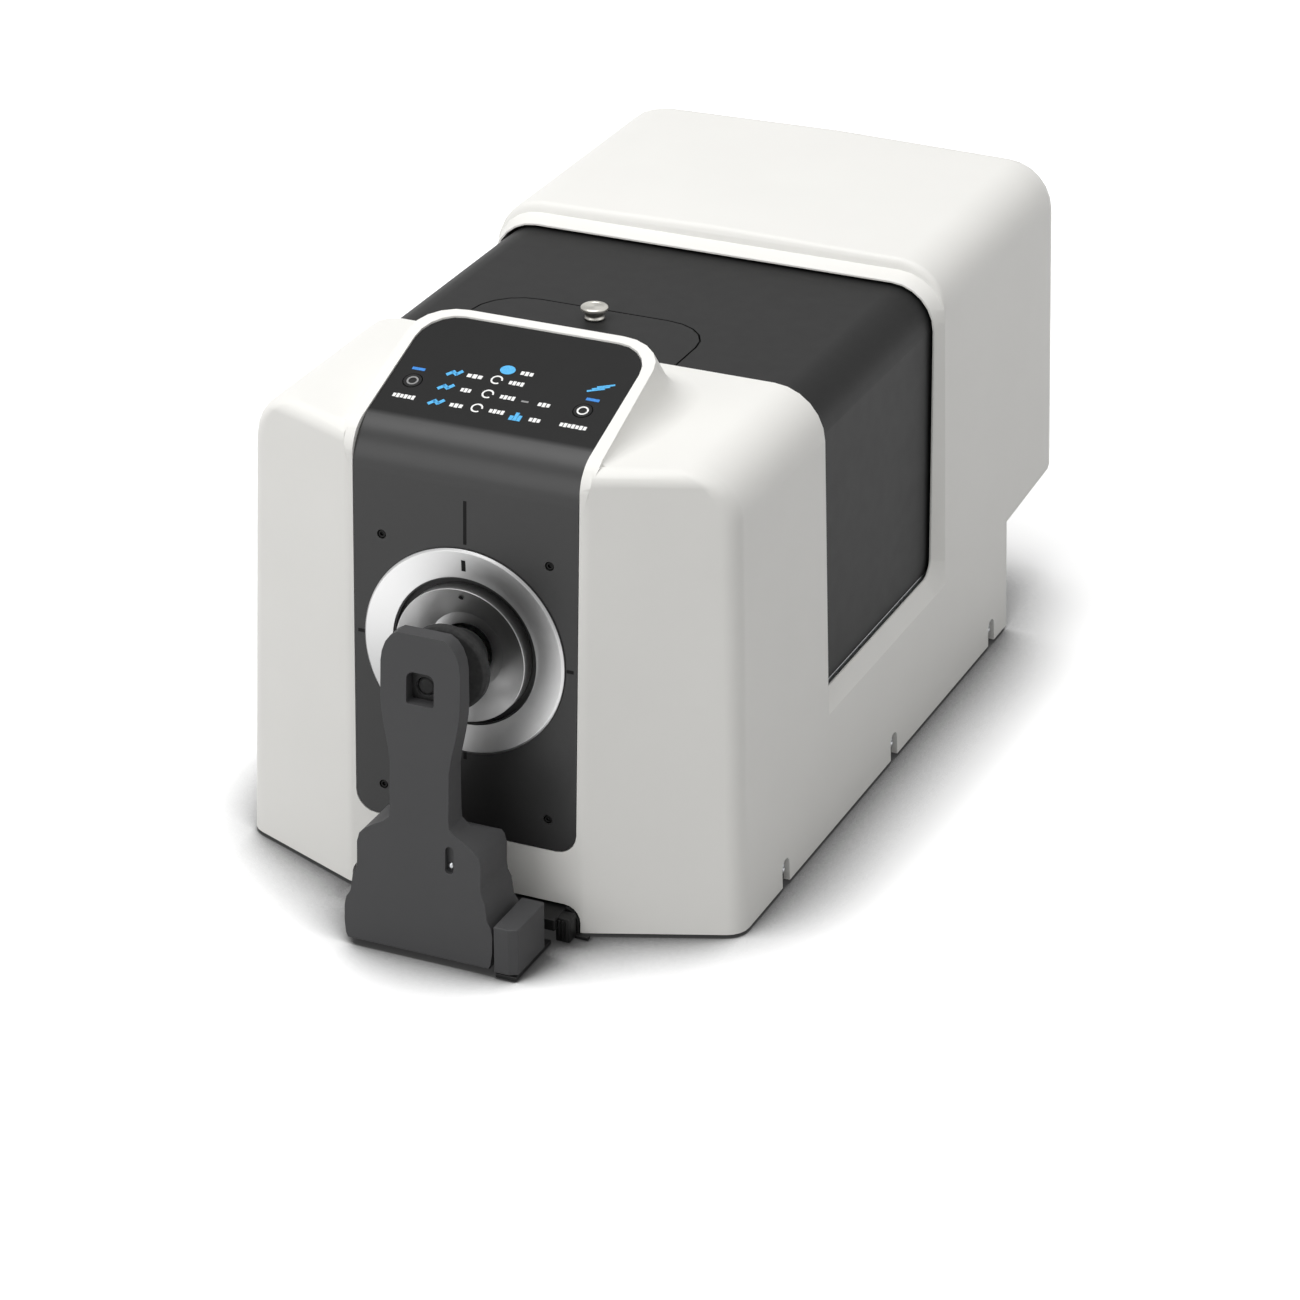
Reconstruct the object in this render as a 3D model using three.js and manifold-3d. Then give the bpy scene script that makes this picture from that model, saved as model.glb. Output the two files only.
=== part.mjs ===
// Benchtop colorimeter: white cover with front unit, hood and rear housing, dark front panel with
// the measuring port, sprung sample holder, sliding lid with an access door, and what it holds inside.
// Lengths are in millimetres. X is the width, -Y the front, +Z up, Z = 0 the bench.
import * as THREE from 'three';
import { mergeVertices } from 'three/addons/utils/BufferGeometryUtils.js';
import Module from 'manifold-3d';

const wasm = await Module();
wasm.setup();

// Overall sizes
const BODY_WIDTH = 248;
const BODY_DEPTH = 448;
const HOLDER_REACH = 48.5;
const COVER_LIFT = 2;
const SHOULDER_TOP = 223;
const HOUSING_TOP = 229;
const SIDE_DRAFT_SHARE = 0.031;
const FRONT_LEAN_SHARE = 0.037;

// Clearances
const SEAT_GAP = 0.3;
const RUN_GAP = 0.4;
const OVERRUN = 40;
const TINY = 0.05;
const WELD = 0.002;

// Front unit
const UNIT_DEPTH = 131.5;
const FACE_HALF = 58;
const FLANK_TILT_DEG = 22.5;
const FRONT_CORNER_R = 11;
const SHOULDER_R = 24;
const FRONT_EDGE_R = 7;
const WALL = 3;
const FRONT_WALL = 6;

// Low side bands and the lower rear face
const BAND_TOP = 62.5;
const BAND_DEPTH = 370.4;
const BAND_CORNER_R = 6;
const SILL_TOP = 71;
const SILL_LIP = 0.8;
const SILL_THICK = 4;
const OPENING_R = 9;

// Rear housing
const HOUSING_START = 275;
const BEVEL_DEPTH = 8;
const BEVEL_DROP = 6.5;
const RISER_DEPTH = 4;
const HOUSING_R = 24;
const HOUSING_REAR_R = 16;
const HOUSING_CROWN = 2;
const OVERHANG_LOW = 59.5;
const OVERHANG_RISE = 5;

// Hood and control panel
const PANEL_HALF = 54.3;
const PANEL_LOW = 39.8;
const PANEL_FOLD_Z = 221.8;
const PANEL_FOLD_R = 25;
const PANEL_RUN = 83;
const PANEL_SLOPE_DEG = 19.2;
const PANEL_THICK = 2.5;
const PANEL_LOW_R = 10;
const PANEL_REAR_R = 17;
const RIM = 4.8;
const RIM_PROUD = 0.6;
const PANEL_LIP = 6;
const HOOD_LOW = 200;
const HOOD_LOW_HALF = 55;
const HOOD_REAR_RUN = 22;
const HOOD_FLARE = 2;
const HOOD_CORNER_R = 21.5;
const COVE_R = 12;
const COVE_START = 17;
const COVE_HEIGHT_SHARE = 0.8;
const LEDGE_FLARE = 4;

// Measuring port
const PORT_Z = 128.3;
const RING_R = 48.7;
const RING_BORE_R = 35;
const RING_PROUD = 2;
const RING_INNER_PROUD = 0.8;
const PANEL_HOLE_R = 34.4;
const SEAT_R = 40;
const SEAT_THICK = 3.4;
const SEAT_BORE_R = 14;
const MASK_R = 31.5;
const MASK_PROUD = 5.5;
const MASK_RIM = 1.6;
const MASK_CONE_R = 18;
const MASK_CONE_DEPTH = 6.5;
const MASK_HOLE_R = 12.7;
const SCREW_X = 40.6;
const SCREW_UP = 48.1;
const SCREW_DOWN = 73.7;
const SCREW_R = 1.9;
const SCREW_LENGTH = 7;

// Buttons and keypad board
const BUTTON_LEFT_X = -43;
const BUTTON_RIGHT_X = 39.4;
const BUTTON_RUN = 38.2;
const BUTTON_R = 4.2;
const BUTTON_PROUD = 0.25;
const BUTTON_FLANGE = 0.8;
const BUTTON_FLANGE_THICK = 1;
const BUTTON_TRAVEL = 0.8;
const BOARD_THICK = 1.6;
const KEYPAD_HALF = 47;
const KEYPAD_LENGTH = 40;
const KEYPAD_START = 21;
const POST_R = 2.2;

// Lid, access door and knob
const LID_INSET = 8.4;
const LID_HALF = BODY_WIDTH / 2 - LID_INSET;
const LID_DRAFT_SHARE = 0.013;
const LID_TOP = 217;
const LID_LOW = 72;
const LID_R = 20;
const LID_THICK = 2.5;
const LID_START = 133;
const LID_END = 281;
const LID_GAP = 1.6;
const DOOR_X = -18;
const DOOR_HALF = 56.5;
const DOOR_END = 192;
const DOOR_R = 24;
const DOOR_GAP = 0.9;
const DOOR_LEDGE = 4;
const LEDGE_THICK = 2;
const DOOR_PIN_Y = 139.5;
const DOOR_PIN_DROP = 3.6;
const DOOR_PIN_R = 1.2;
const DOOR_BARREL_R = 2.6;
const LUG_THICK = 3;
const KNOB_Y = 181;
const KNOB_TOP_R = 6.5;
const KNOB_NECK_R = 4.2;
const KNOB_FOOT_R = 4.8;
const KNOB_HEIGHT = 6.6;
const KNOB_CROWN = 2.2;

// Sample holder
const PIVOT_Y = -39;
const PIVOT_Z = 13.4;
const HEEL_R = 12.9;
const ARM_TOP = 154.5;
const ARM_LOW_FRONT = -47.4;
const ARM_TOP_FRONT = -37.5;
const ARM_THICK = 7.6;
const BELL_HALF = 36.5;
const BELL_TOP = 60;
const BELL_REAR = -18;
const BELL_WALL = 3;
const WINDOW_HALF = 6.6;
const WINDOW_R = 1;
const WINDOW_LOW = 122;
const WINDOW_TOP = 137;
const SLOT_X = 15;
const SLOT_HALF = 2;
const SLOT_LOW = 45;
const SLOT_TOP = 58;
const SLOT_DEPTH = 2;
const PIN_R = 2.5;
const PAD_R = 20;
const PAD_NOSE_R = 13;
const PAD_FRONT = 9.5;
const PAD_DISC = 6;
const PAD_EDGE = 1;
const PAD_REST_GAP = 1.5;
const STEM_R = 4;
const STEM_END = 4.5;
const STEM_BORE_GAP = 0.5;
const PAD_TRAVEL = 3;
const PAD_SPRING_R = 7;
const PAD_SPRING_WIRE_R = 0.8;
const PAD_SPRING_COILS = 2.5;

// Holder bracket and side block
const NOTCH_HALF = 57;
const NOTCH_TOP = 14.5;
const NOTCH_R = 8;
const BRACKET_HALF = 50;
const BRACKET_THICK = 5.6;
const BRACKET_FRONT = -12;
const BRACKET_REAR = 40;
const EAR_NEAR = 13;
const EAR_FAR = 27;
const EAR_R = 4.6;
const EAR_DROP = 4.4;
const EAR_SIDE_GAP = 0.8;
const STRIP_NEAR = 38.4;
const STRIP_WIDTH = 10;
const STRIP_LOW = 0.6;
const STRIP_THICK = 2.1;
const STRIP_BAR = 5.4;
const BLOCK_NEAR = 37.9;
const BLOCK_FAR = 48.9;
const BLOCK_FRONT = -HOLDER_REACH;
const BLOCK_REAR = -19.5;
const BLOCK_TOP = 26;
const BLOCK_CHAMFER = 4;
const SPRING_R = 3.7;
const SPRING_WIRE_R = 0.8;
const SPRING_COILS = 7;

// Base plate, feet and cover screws
const BASE_LOW = 5;
const BASE_THICK = 2;
const BASE_INSET = 4;
const BASE_HALF = BODY_WIDTH / 2 - BASE_INSET;
const BASE_START = 14;
const BASE_REAR_GAP = 6.4;
const BASE_END = BAND_DEPTH - BASE_REAR_GAP;
const BASE_FLANGE = 16;
const FOOT_R = 11;
const FOOT_INSET = 27;
const FOOT_FRONT_INSET = 46;
const FOOT_REAR_INSET = 26;
const SIDE_SCREW_Z = 9.5;
const SIDE_SCREW_FRONT_INSET = 64;
const SIDE_SCREW_REAR_INSET = 16;
const SIDE_SCREW_COUNT = 3;
const SIDE_SCREW_HEAD_R = 3.4;
const SIDE_SCREW_HEAD = 2.4;
const SIDE_SCREW_R = 1.6;
const SIDE_SCREW_LENGTH = 7;
const SIDE_NOTCH_HALF = 4.2;
const SIDE_NOTCH_TOP = 15;

// Optics
const SPHERE_R = 56;
const SPHERE_WALL = 4;
const SPHERE_Y = 66.3;
const FLANGE_R = 61;
const FLANGE_THICK = 3;
const SPHERE_PORT_R = 14;
const LAMP_PORT_R = 8;
const LAMP_PORT_OFFSET = 24;
const LAMP_HALF = 30;
const LAMP_START = 77;
const LAMP_TOP = 205;
const LAMP_WALL = 2;
const LAMP_TUBE_R = 4;
const LAMP_ROOF_GAP = 8;
const CRADLE_HALF = 34;
const CRADLE_DEPTH_HALF = 16;
const CRADLE_TOP = 88;
const DECK_LOW = 65;
const DECK_THICK = 3;
const DECK_HALF = LID_HALF - RUN_GAP;
const DECK_START = 134;
const LEG_THICK = 4;
const LEG_HALF = 84;
const LEG_SHARES = [0.0212, 0.709, 0.889];
const CHAMBER_WALL_T = 3;
const CHAMBER_INSET = 11.6;
const CHAMBER_HALF = LID_HALF - CHAMBER_INSET;
const CHAMBER_TOP = 204;
const CHAMBER_REAR = 271;
const RAIL_HEIGHT = 6;
const RAIL_WIDTH = 4;
const RAIL_START = 140;
const RAIL_END = 362;
const BARREL_R = 21;
const BARREL_WALL = 3;
const BARREL_LENGTH = 44;
const LENS_R = 17.6;
const LENS_THICK = 7;
const LENS_BULGE = 3;
const LENS_SET = 4;
const MOUNT_HALF = 26;
const MOUNT_DEPTH = 12;
const MOUNT_INSET = 14;
const SPECTRO_INSET = 27.6;
const SPECTRO_HALF = LID_HALF - SPECTRO_INSET;
const SPECTRO_START = 320;
const SPECTRO_LENGTH = 46;
const SPECTRO_TOP = 182;
const SPECTRO_EDGE_R = 6;
const ENTRANCE_R = 6;

// Electronics and the rear face
const BOARD_HALF = 84;
const BOARD_LOW = 80;
const BOARD_TOP = 176;
const BOARD_STANDOFF = 6;
const CAPACITOR_R = 15;
const CAPACITOR_LENGTH = 44;
const CAPACITOR_X = -45;
const CAPACITOR_Z = 118;
const POWER_HALF = 70;
const POWER_LENGTH_SHARE = 0.73;
const POWER_LIFT = 6;
const CORE_HALF = 22;
const CORE_LENGTH = 38;
const CORE_HEIGHT = 24;
const CORE_INSET = 30;
const PLATE_HALF = 62;
const PLATE_LOW = 13;
const PLATE_TOP = 53;
const PLATE_THICK = 2.5;
const PLATE_LIP = 4;
const INLET_X = -38;
const INLET_HALF = 7.5;
const INLET_HALF_Z = 7.5;
const INLET_BORE_R = 4.6;
const INLET_PIN_R = 1.1;
const SOCKET_X = 0;
const SOCKET_HALF = 6.5;
const SOCKET_MOUTH_HALF = 4.2;
const CONNECTOR_Z = 33;
const CONNECTOR_DEPTH = 15;
const CONNECTOR_PROUD = 1.2;
const SOCKET_HOLLOW = 9;
const SWITCH_X = 38;
const SWITCH_HALF_X = 7;
const SWITCH_HALF_Z = 10.5;
const SWITCH_FRAME = 2;
const ROCKER_PROUD = 2.2;
const ROCKER_DEPTH = 7;
const ROCKER_TILT_DEG = 8;
const ROCKER_WAIST_SHARE = 0.7;
const ROCKER_DIP_SHARE = 0.2;

// Share of the shorter side that a corner's arc may take
const CORNER_ROOM_SHARE = 0.49;

// Finishes, taken from the look of each surface
const finish = (color, roughness, metalness = 0) =>
  new THREE.MeshStandardMaterial({ color, roughness, metalness });
const WHITE_SHELL = { color: 0xf2f2ee, roughness: 0.55 };
const DARK_SHELL = { color: 0x424242, roughness: 0.5 };
const DARK_PANEL = { color: 0x484848, roughness: 0.55 };
const BLACK_PART = { color: 0x161616, roughness: 0.6 };
const RUBBER = { color: 0x1c1c1c, roughness: 0.9 };
const SPUN_METAL = { color: 0xc6c6c0, roughness: 0.3, metalness: 1 };
const STEEL = { color: 0xb8b8b8, roughness: 0.3, metalness: 1 };
const SHEET = { color: 0x9da0a2, roughness: 0.45, metalness: 1 };
const SPHERE_COAT = { color: 0xf6f6f4, roughness: 0.95 };
const GLASS = { color: 0xe6eef0, roughness: 0.05 };
const BOARD_GREEN = { color: 0x1f5a3a, roughness: 0.6 };

// Solid helpers

// Closed geometry to a solid, moved by a matrix if one is given.
function toSolid(geometry, matrix) {
  const plain = geometry.clone();
  plain.deleteAttribute('normal');
  plain.deleteAttribute('uv');
  if (matrix) {
    plain.applyMatrix4(matrix);
  }
  const merged = mergeVertices(plain);
  const vertProperties = new Float32Array(merged.attributes.position.array);
  const triVerts = new Uint32Array(merged.index.array);
  return new wasm.Manifold(new wasm.Mesh({ numProp: 3, vertProperties, triVerts }));
}

// Solid back to a geometry with flat faces, without the slivers that joins leave.
function toGeometry(solid) {
  const mesh = solid.getMesh();
  const geometry = new THREE.BufferGeometry();
  const points = [];
  for (let i = 0; i < mesh.vertProperties.length; i += mesh.numProp) {
    points.push(mesh.vertProperties[i], mesh.vertProperties[i + 1], mesh.vertProperties[i + 2]);
  }
  geometry.setAttribute('position', new THREE.Float32BufferAttribute(points, 3));
  geometry.setIndex(new THREE.BufferAttribute(new Uint32Array(mesh.triVerts), 1));
  const welded = mergeVertices(geometry, WELD);
  const kept = [];
  for (let i = 0; i < welded.index.count; i += 3) {
    const corners = [0, 1, 2].map((k) => welded.index.getX(i + k));
    if (new Set(corners).size === corners.length) {
      kept.push(...corners);
    }
  }
  welded.setIndex(kept);
  const flat = welded.toNonIndexed();
  flat.computeVertexNormals();
  return flat;
}

const union = (...solids) => solids.reduce((whole, piece) => whole.add(piece));
const cut = (solid, ...tools) => tools.reduce((rest, tool) => rest.subtract(tool), solid);

// Box between two corners.
function block(x0, x1, y0, y1, z0, z1) {
  const geometry = new THREE.BoxGeometry(x1 - x0, y1 - y0, z1 - z0);
  geometry.translate((x0 + x1) / 2, (y0 + y1) / 2, (z0 + z1) / 2);
  return toSolid(geometry);
}

// Outline with arcs at its corners: each corner is [x, y, radius].
function rounded(corners, steps = 5) {
  const points = [];
  corners.forEach(([x, y, radius = 0], i) => {
    const before = corners[(i + corners.length - 1) % corners.length];
    const after = corners[(i + 1) % corners.length];
    const here = new THREE.Vector2(x, y);
    const a = new THREE.Vector2(before[0], before[1]).sub(here);
    const b = new THREE.Vector2(after[0], after[1]).sub(here);
    const room = Math.min(a.length(), b.length()) * CORNER_ROOM_SHARE;
    a.normalize();
    b.normalize();
    const half = Math.acos(THREE.MathUtils.clamp(a.dot(b), -1, 1)) / 2;
    if (radius <= 0 || Math.PI / 2 - half < 1e-4) {
      points.push(here);
      return;
    }
    const reach = Math.min(radius / Math.tan(half), room);
    const r = reach * Math.tan(half);
    const centre = a.clone().add(b).normalize().multiplyScalar(r / Math.sin(half)).add(here);
    const start = a.clone().multiplyScalar(reach).add(here).sub(centre);
    const end = b.clone().multiplyScalar(reach).add(here).sub(centre);
    const from = Math.atan2(start.y, start.x);
    let turn = Math.atan2(end.y, end.x) - from;
    turn -= Math.round(turn / (2 * Math.PI)) * 2 * Math.PI;
    for (let s = 0; s <= steps; s += 1) {
      const angle = from + (turn * s) / steps;
      points.push(new THREE.Vector2(Math.cos(angle), Math.sin(angle)).multiplyScalar(r).add(centre));
    }
  });
  return points;
}

// Straight prism of an outline along Z, between two heights.
function prismZ(points, z0, z1) {
  const shape = new THREE.Shape(points);
  const geometry = new THREE.ExtrudeGeometry(shape, { depth: z1 - z0, bevelEnabled: false });
  geometry.translate(0, 0, z0);
  return toSolid(geometry);
}

// Prism of an outline in X and Z, along Y.
function prismY(points, y0, y1) {
  const shape = new THREE.Shape(points);
  const geometry = new THREE.ExtrudeGeometry(shape, { depth: y1 - y0, bevelEnabled: false });
  geometry.rotateX(Math.PI / 2);
  geometry.translate(0, y1, 0);
  return toSolid(geometry);
}

// Prism of an outline in Y and Z, along X.
function prismX(points, x0, x1) {
  const shape = new THREE.Shape(points);
  const geometry = new THREE.ExtrudeGeometry(shape, { depth: x1 - x0, bevelEnabled: false });
  geometry.rotateY(Math.PI / 2);
  geometry.rotateX(Math.PI / 2);
  geometry.translate(x0, 0, 0);
  return toSolid(geometry);
}

// Round rods along each axis.
function rodY(radius, y0, y1, x, z, sides = 24) {
  const geometry = new THREE.CylinderGeometry(radius, radius, y1 - y0, sides);
  geometry.translate(x, (y0 + y1) / 2, z);
  return toSolid(geometry);
}

function rodX(radius, x0, x1, y, z, sides = 24) {
  const geometry = new THREE.CylinderGeometry(radius, radius, x1 - x0, sides);
  geometry.rotateZ(Math.PI / 2);
  geometry.translate((x0 + x1) / 2, y, z);
  return toSolid(geometry);
}

function rodZ(radius, z0, z1, x, y, sides = 24) {
  const geometry = new THREE.CylinderGeometry(radius, radius, z1 - z0, sides);
  geometry.rotateX(Math.PI / 2);
  geometry.translate(x, y, (z0 + z1) / 2);
  return toSolid(geometry);
}

// Piece turned about the Y axis from a closed profile of [radius, y].
function turned(profile, segments = 48) {
  const points = profile.map(([r, y]) => new THREE.Vector2(r, y));
  points.push(points[0].clone());
  const geometry = new THREE.LatheGeometry(points, segments);
  const solid = toSolid(geometry);
  return solid.volume() < 0 ? toSolid(flipped(geometry)) : solid;
}

// The same faces wound the other way.
function flipped(geometry) {
  const copy = geometry.clone();
  const index = copy.index.array;
  for (let i = 0; i < index.length; i += 3) {
    [index[i], index[i + 1]] = [index[i + 1], index[i]];
  }
  return copy;
}

// Skin through rings of points, closed at each end by a fan from the ring's middle or a given one.
function loft(rings, middleOf) {
  const count = rings[0].length;
  const positions = rings.flatMap((ring) => ring.flatMap((p) => [p.x, p.y, p.z]));
  const index = [];
  for (let level = 0; level < rings.length - 1; level += 1) {
    for (let i = 0; i < count; i += 1) {
      const a = level * count + i;
      const b = level * count + ((i + 1) % count);
      index.push(a, b, b + count, a, b + count, a + count);
    }
  }
  const mean = (ring) => ring.reduce((sum, p) => sum.add(p), new THREE.Vector3()).divideScalar(ring.length);
  const centreOf = middleOf ?? mean;
  const caps = [
    [rings[0], 0, true],
    [rings[rings.length - 1], (rings.length - 1) * count, false],
  ];
  caps.forEach(([ring, offset, first]) => {
    const centre = centreOf(ring);
    const middle = positions.length / 3;
    positions.push(centre.x, centre.y, centre.z);
    for (let i = 0; i < count; i += 1) {
      const a = offset + i;
      const b = offset + ((i + 1) % count);
      index.push(middle, first ? b : a, first ? a : b);
    }
  });
  const geometry = new THREE.BufferGeometry();
  geometry.setAttribute('position', new THREE.Float32BufferAttribute(positions, 3));
  geometry.setIndex(index);
  const solid = toSolid(geometry);
  return solid.volume() < 0 ? toSolid(flipped(geometry)) : solid;
}

// Coil of round wire as one unbroken tube: toPoint gives the centre line at an angle and a share.
function coil(name, wireR, coils, toPoint) {
  const steps = coils * 8;
  const points = [];
  for (let i = 0; i <= steps; i += 1) {
    const share = i / steps;
    points.push(toPoint(share * coils * 2 * Math.PI, share));
  }
  let least = Infinity;
  for (let i = 0; i <= steps; i += 1) {
    for (let j = i + 4; j <= steps; j += 1) {
      least = Math.min(least, points[i].distanceTo(points[j]) - 2 * wireR);
    }
  }
  console.log(`${name}: least gap to itself ${least.toFixed(2)} mm`);
  return tube(points, wireR, steps);
}

// Five-sided tube along a smooth curve.
function tube(points, wireR, steps) {
  const sides = 5;
  const section = [];
  for (let i = 0; i < sides; i += 1) {
    const angle = (i / sides) * 2 * Math.PI;
    section.push(new THREE.Vector2(wireR * Math.cos(angle), wireR * Math.sin(angle)));
  }
  const extrudePath = new THREE.CatmullRomCurve3(points);
  const geometry = new THREE.ExtrudeGeometry(new THREE.Shape(section), { steps, extrudePath });
  return toSolid(geometry);
}

// Scene

const instrument = new THREE.Group();
instrument.position.y = (HOLDER_REACH - BODY_DEPTH) / 2;

function place(name, solid, look, parent = instrument) {
  const material = finish(look.color, look.roughness, look.metalness ?? 0);
  const mesh = new THREE.Mesh(toGeometry(solid), material);
  mesh.name = name;
  parent.add(mesh);
  return mesh;
}

// Shared measures of the cover

const lean = (z) => FRONT_LEAN_SHARE * z;
const sideAt = (z) => BODY_WIDTH / 2 - SIDE_DRAFT_SHARE * z;
const slope = THREE.MathUtils.degToRad(PANEL_SLOPE_DEG);
const leanAngle = Math.atan(FRONT_LEAN_SHARE);
const foldY = lean(PANEL_FOLD_Z);
const flankTilt = THREE.MathUtils.degToRad(FLANK_TILT_DEG);
const hoodTopHalf = PANEL_HALF + RIM;
const mouthEnd = HOUSING_START + BEVEL_DEPTH;
const roomStart = mouthEnd + RISER_DEPTH + WALL / 2;

// Point on the control panel's plane: run along the slope from the fold, lift square to it.
function onSlope(run, lift = 0) {
  const y = foldY + run * Math.cos(slope) - lift * Math.sin(slope);
  const z = PANEL_FOLD_Z + run * Math.sin(slope) + lift * Math.cos(slope);
  return [y, z];
}

// How far a rounded top edge has drawn in at a height.
function drawnIn(z, top, radius) {
  const up = z - (top - radius);
  return up <= 0 ? 0 : radius - Math.sqrt(Math.max(radius * radius - up * up, 0));
}

// Heights of the rings that follow a rounded top edge.
function levelsTo(low, top, radius, steps) {
  const levels = [low];
  for (let i = 0; i <= steps; i += 1) {
    levels.push(top - radius + radius * Math.sin((i / steps) * (Math.PI / 2)));
  }
  return levels;
}

// Plan outline of the front unit at one height, drawn in by a wall.
function unitRing(z, wall, frontWall, rear, top) {
  const edgeR = Math.max(FRONT_EDGE_R - wall, TINY);
  const shoulderR = Math.max(SHOULDER_R - wall, TINY);
  const side = sideAt(z) - wall - (top ? drawnIn(z, top, shoulderR) : 0);
  const front = lean(z) + frontWall + (top ? drawnIn(z, top, edgeR) : 0);
  const step = (side - FACE_HALF) * Math.tan(flankTilt);
  const faceShift = frontWall * Math.tan(flankTilt / 2);
  const corners = [
    [-side, rear, 0],
    [-side, front + step, FRONT_CORNER_R],
    [-FACE_HALF + faceShift, front, PANEL_LOW_R],
    [FACE_HALF - faceShift, front, PANEL_LOW_R],
    [side, front + step, FRONT_CORNER_R],
    [side, rear, 0],
  ];
  return rounded(corners, 4).map((p) => new THREE.Vector3(p.x, p.y, z));
}

function unitBlock(low, top, rear, wall = 0, frontWall = 0) {
  const levels = levelsTo(low, top, Math.max(SHOULDER_R - wall, TINY), 6);
  return loft(levels.map((z) => unitRing(z, wall, frontWall, rear, top)));
}

function bandBlock(low, top, rear, wall = 0, frontWall = 0) {
  return loft([low, top].map((z) => unitRing(z, wall, frontWall, rear, 0)));
}

// Upright outline of the rear housing at one depth, drawn in by an amount.
function housingRing(y, low, inset, radius, crown) {
  const top = HOUSING_TOP - inset;
  const shoulder = sideAt(top) - inset;
  const corners = [
    [-(sideAt(low) - inset), low, 0],
    [-shoulder, top - crown, radius],
    [0, top, 0],
    [shoulder, top - crown, radius],
    [sideAt(low) - inset, low, 0],
  ];
  return rounded(corners, 6).map((p) => new THREE.Vector3(p.x, y, p.y));
}

// Outline of the lid's outside, grown by a gap.
function lidRing(y, low, grow) {
  const half = (z) => LID_HALF - LID_DRAFT_SHARE * z + grow;
  const top = LID_TOP + grow;
  const radius = LID_R + grow;
  const corners = [
    [-half(low), low, 0],
    [-half(top), top, radius],
    [half(top), top, radius],
    [half(low), low, 0],
  ];
  return rounded(corners, 6).map((p) => new THREE.Vector3(p.x, y, p.y));
}

// Ring with one more point in the middle of its top, to match the crowned rings.
function crowned(ring) {
  const half = ring.length / 2;
  const middle = ring[half - 1].clone().lerp(ring[half], 1 / 2);
  return [...ring.slice(0, half), middle, ...ring.slice(half)];
}

// Rear housing: a bevel round the lid, a short rounded riser, then the full outline.
function housingOutside() {
  const low = OVERHANG_LOW;
  const mouth = housingRing(mouthEnd, low, BEVEL_DROP, HOUSING_R, 0);
  mouth.forEach((p) => {
    p.x += Math.sign(p.x) * BEVEL_DROP;
  });
  const full = (y, inset) => housingRing(y, low, inset, HOUSING_R, HOUSING_CROWN);
  const rings = [crowned(lidRing(HOUSING_START, low, LID_GAP + SILL_LIP)), mouth];
  const top = full(mouthEnd, 0);
  const steps = 4;
  for (let i = 1; i <= steps; i += 1) {
    const angle = (i / steps) * (Math.PI / 2);
    const y = mouthEnd + RISER_DEPTH * (1 - Math.cos(angle));
    const ring = mouth.map((p, k) => p.clone().lerp(top[k], Math.sin(angle)));
    ring.forEach((p) => {
      p.y = y;
    });
    rings.push(ring);
  }
  for (let i = 0; i <= steps; i += 1) {
    const angle = (i / steps) * (Math.PI / 2);
    const y = BODY_DEPTH - HOUSING_REAR_R + HOUSING_REAR_R * Math.sin(angle);
    rings.push(full(y, HOUSING_REAR_R * (1 - Math.cos(angle))));
  }
  return loft(rings);
}

function housingInside() {
  const low = OVERHANG_LOW;
  const ring = (y, inset) => housingRing(y, low, inset, HOUSING_R - WALL, HOUSING_CROWN);
  const rearR = HOUSING_REAR_R - WALL;
  const angle = Math.PI / 4;
  const bend = BODY_DEPTH - HOUSING_REAR_R + rearR * Math.sin(angle);
  return loft([
    ring(roomStart, WALL),
    ring(BODY_DEPTH - HOUSING_REAR_R, WALL),
    ring(bend, WALL + rearR * (1 - Math.cos(angle))),
    ring(BODY_DEPTH - WALL, WALL + rearR),
  ]);
}

// Sloping underside of the overhang, with everything below it.
function underOverhang(lift, start) {
  const rise = (y) => OVERHANG_LOW + (OVERHANG_RISE * (y - BAND_DEPTH)) / (BODY_DEPTH - BAND_DEPTH);
  const end = BODY_DEPTH + OVERRUN;
  const points = [
    [start, -OVERRUN],
    [end, -OVERRUN],
    [end, rise(end) + lift],
    [start, rise(start) + lift],
  ];
  const outline = points.map(([y, z]) => new THREE.Vector2(y, z));
  return prismX(outline, -BODY_WIDTH, BODY_WIDTH);
}

// Side view of a leaning face folded back into the slope, each moved in by its own amount.
function foldProfile(low, run, faceIn, slopeIn, foldR) {
  const face = new THREE.Vector2(Math.sin(leanAngle), Math.cos(leanAngle));
  const into = new THREE.Vector2(Math.cos(leanAngle), -Math.sin(leanAngle));
  const along = new THREE.Vector2(Math.cos(slope), Math.sin(slope));
  const [startY, startZ] = onSlope(0, -slopeIn);
  const corner = new THREE.Vector2(foldY, PANEL_FOLD_Z).addScaledVector(into, faceIn);
  const gap = new THREE.Vector2(startY, startZ).sub(corner);
  corner.addScaledVector(face, gap.cross(along) / face.cross(along));
  const foot = new THREE.Vector2(lean(low), low).addScaledVector(into, faceIn);
  const [endY, endZ] = onSlope(run, -slopeIn);
  return { foot, corner, end: new THREE.Vector2(endY, endZ), foldR: foldR - faceIn };
}

// Band of one thickness that follows the fold.
function foldBand(low, run, outer, inner, x0, x1) {
  const a = foldProfile(low, run, outer, outer, PANEL_FOLD_R);
  const b = foldProfile(low, run, inner, inner, PANEL_FOLD_R);
  const corners = [
    [a.foot.x, a.foot.y, 0],
    [a.corner.x, a.corner.y, a.foldR],
    [a.end.x, a.end.y, 0],
    [b.end.x, b.end.y, 0],
    [b.corner.x, b.corner.y, b.foldR],
    [b.foot.x, b.foot.y, 0],
  ];
  return prismX(rounded(corners, 8), x0, x1);
}

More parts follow.
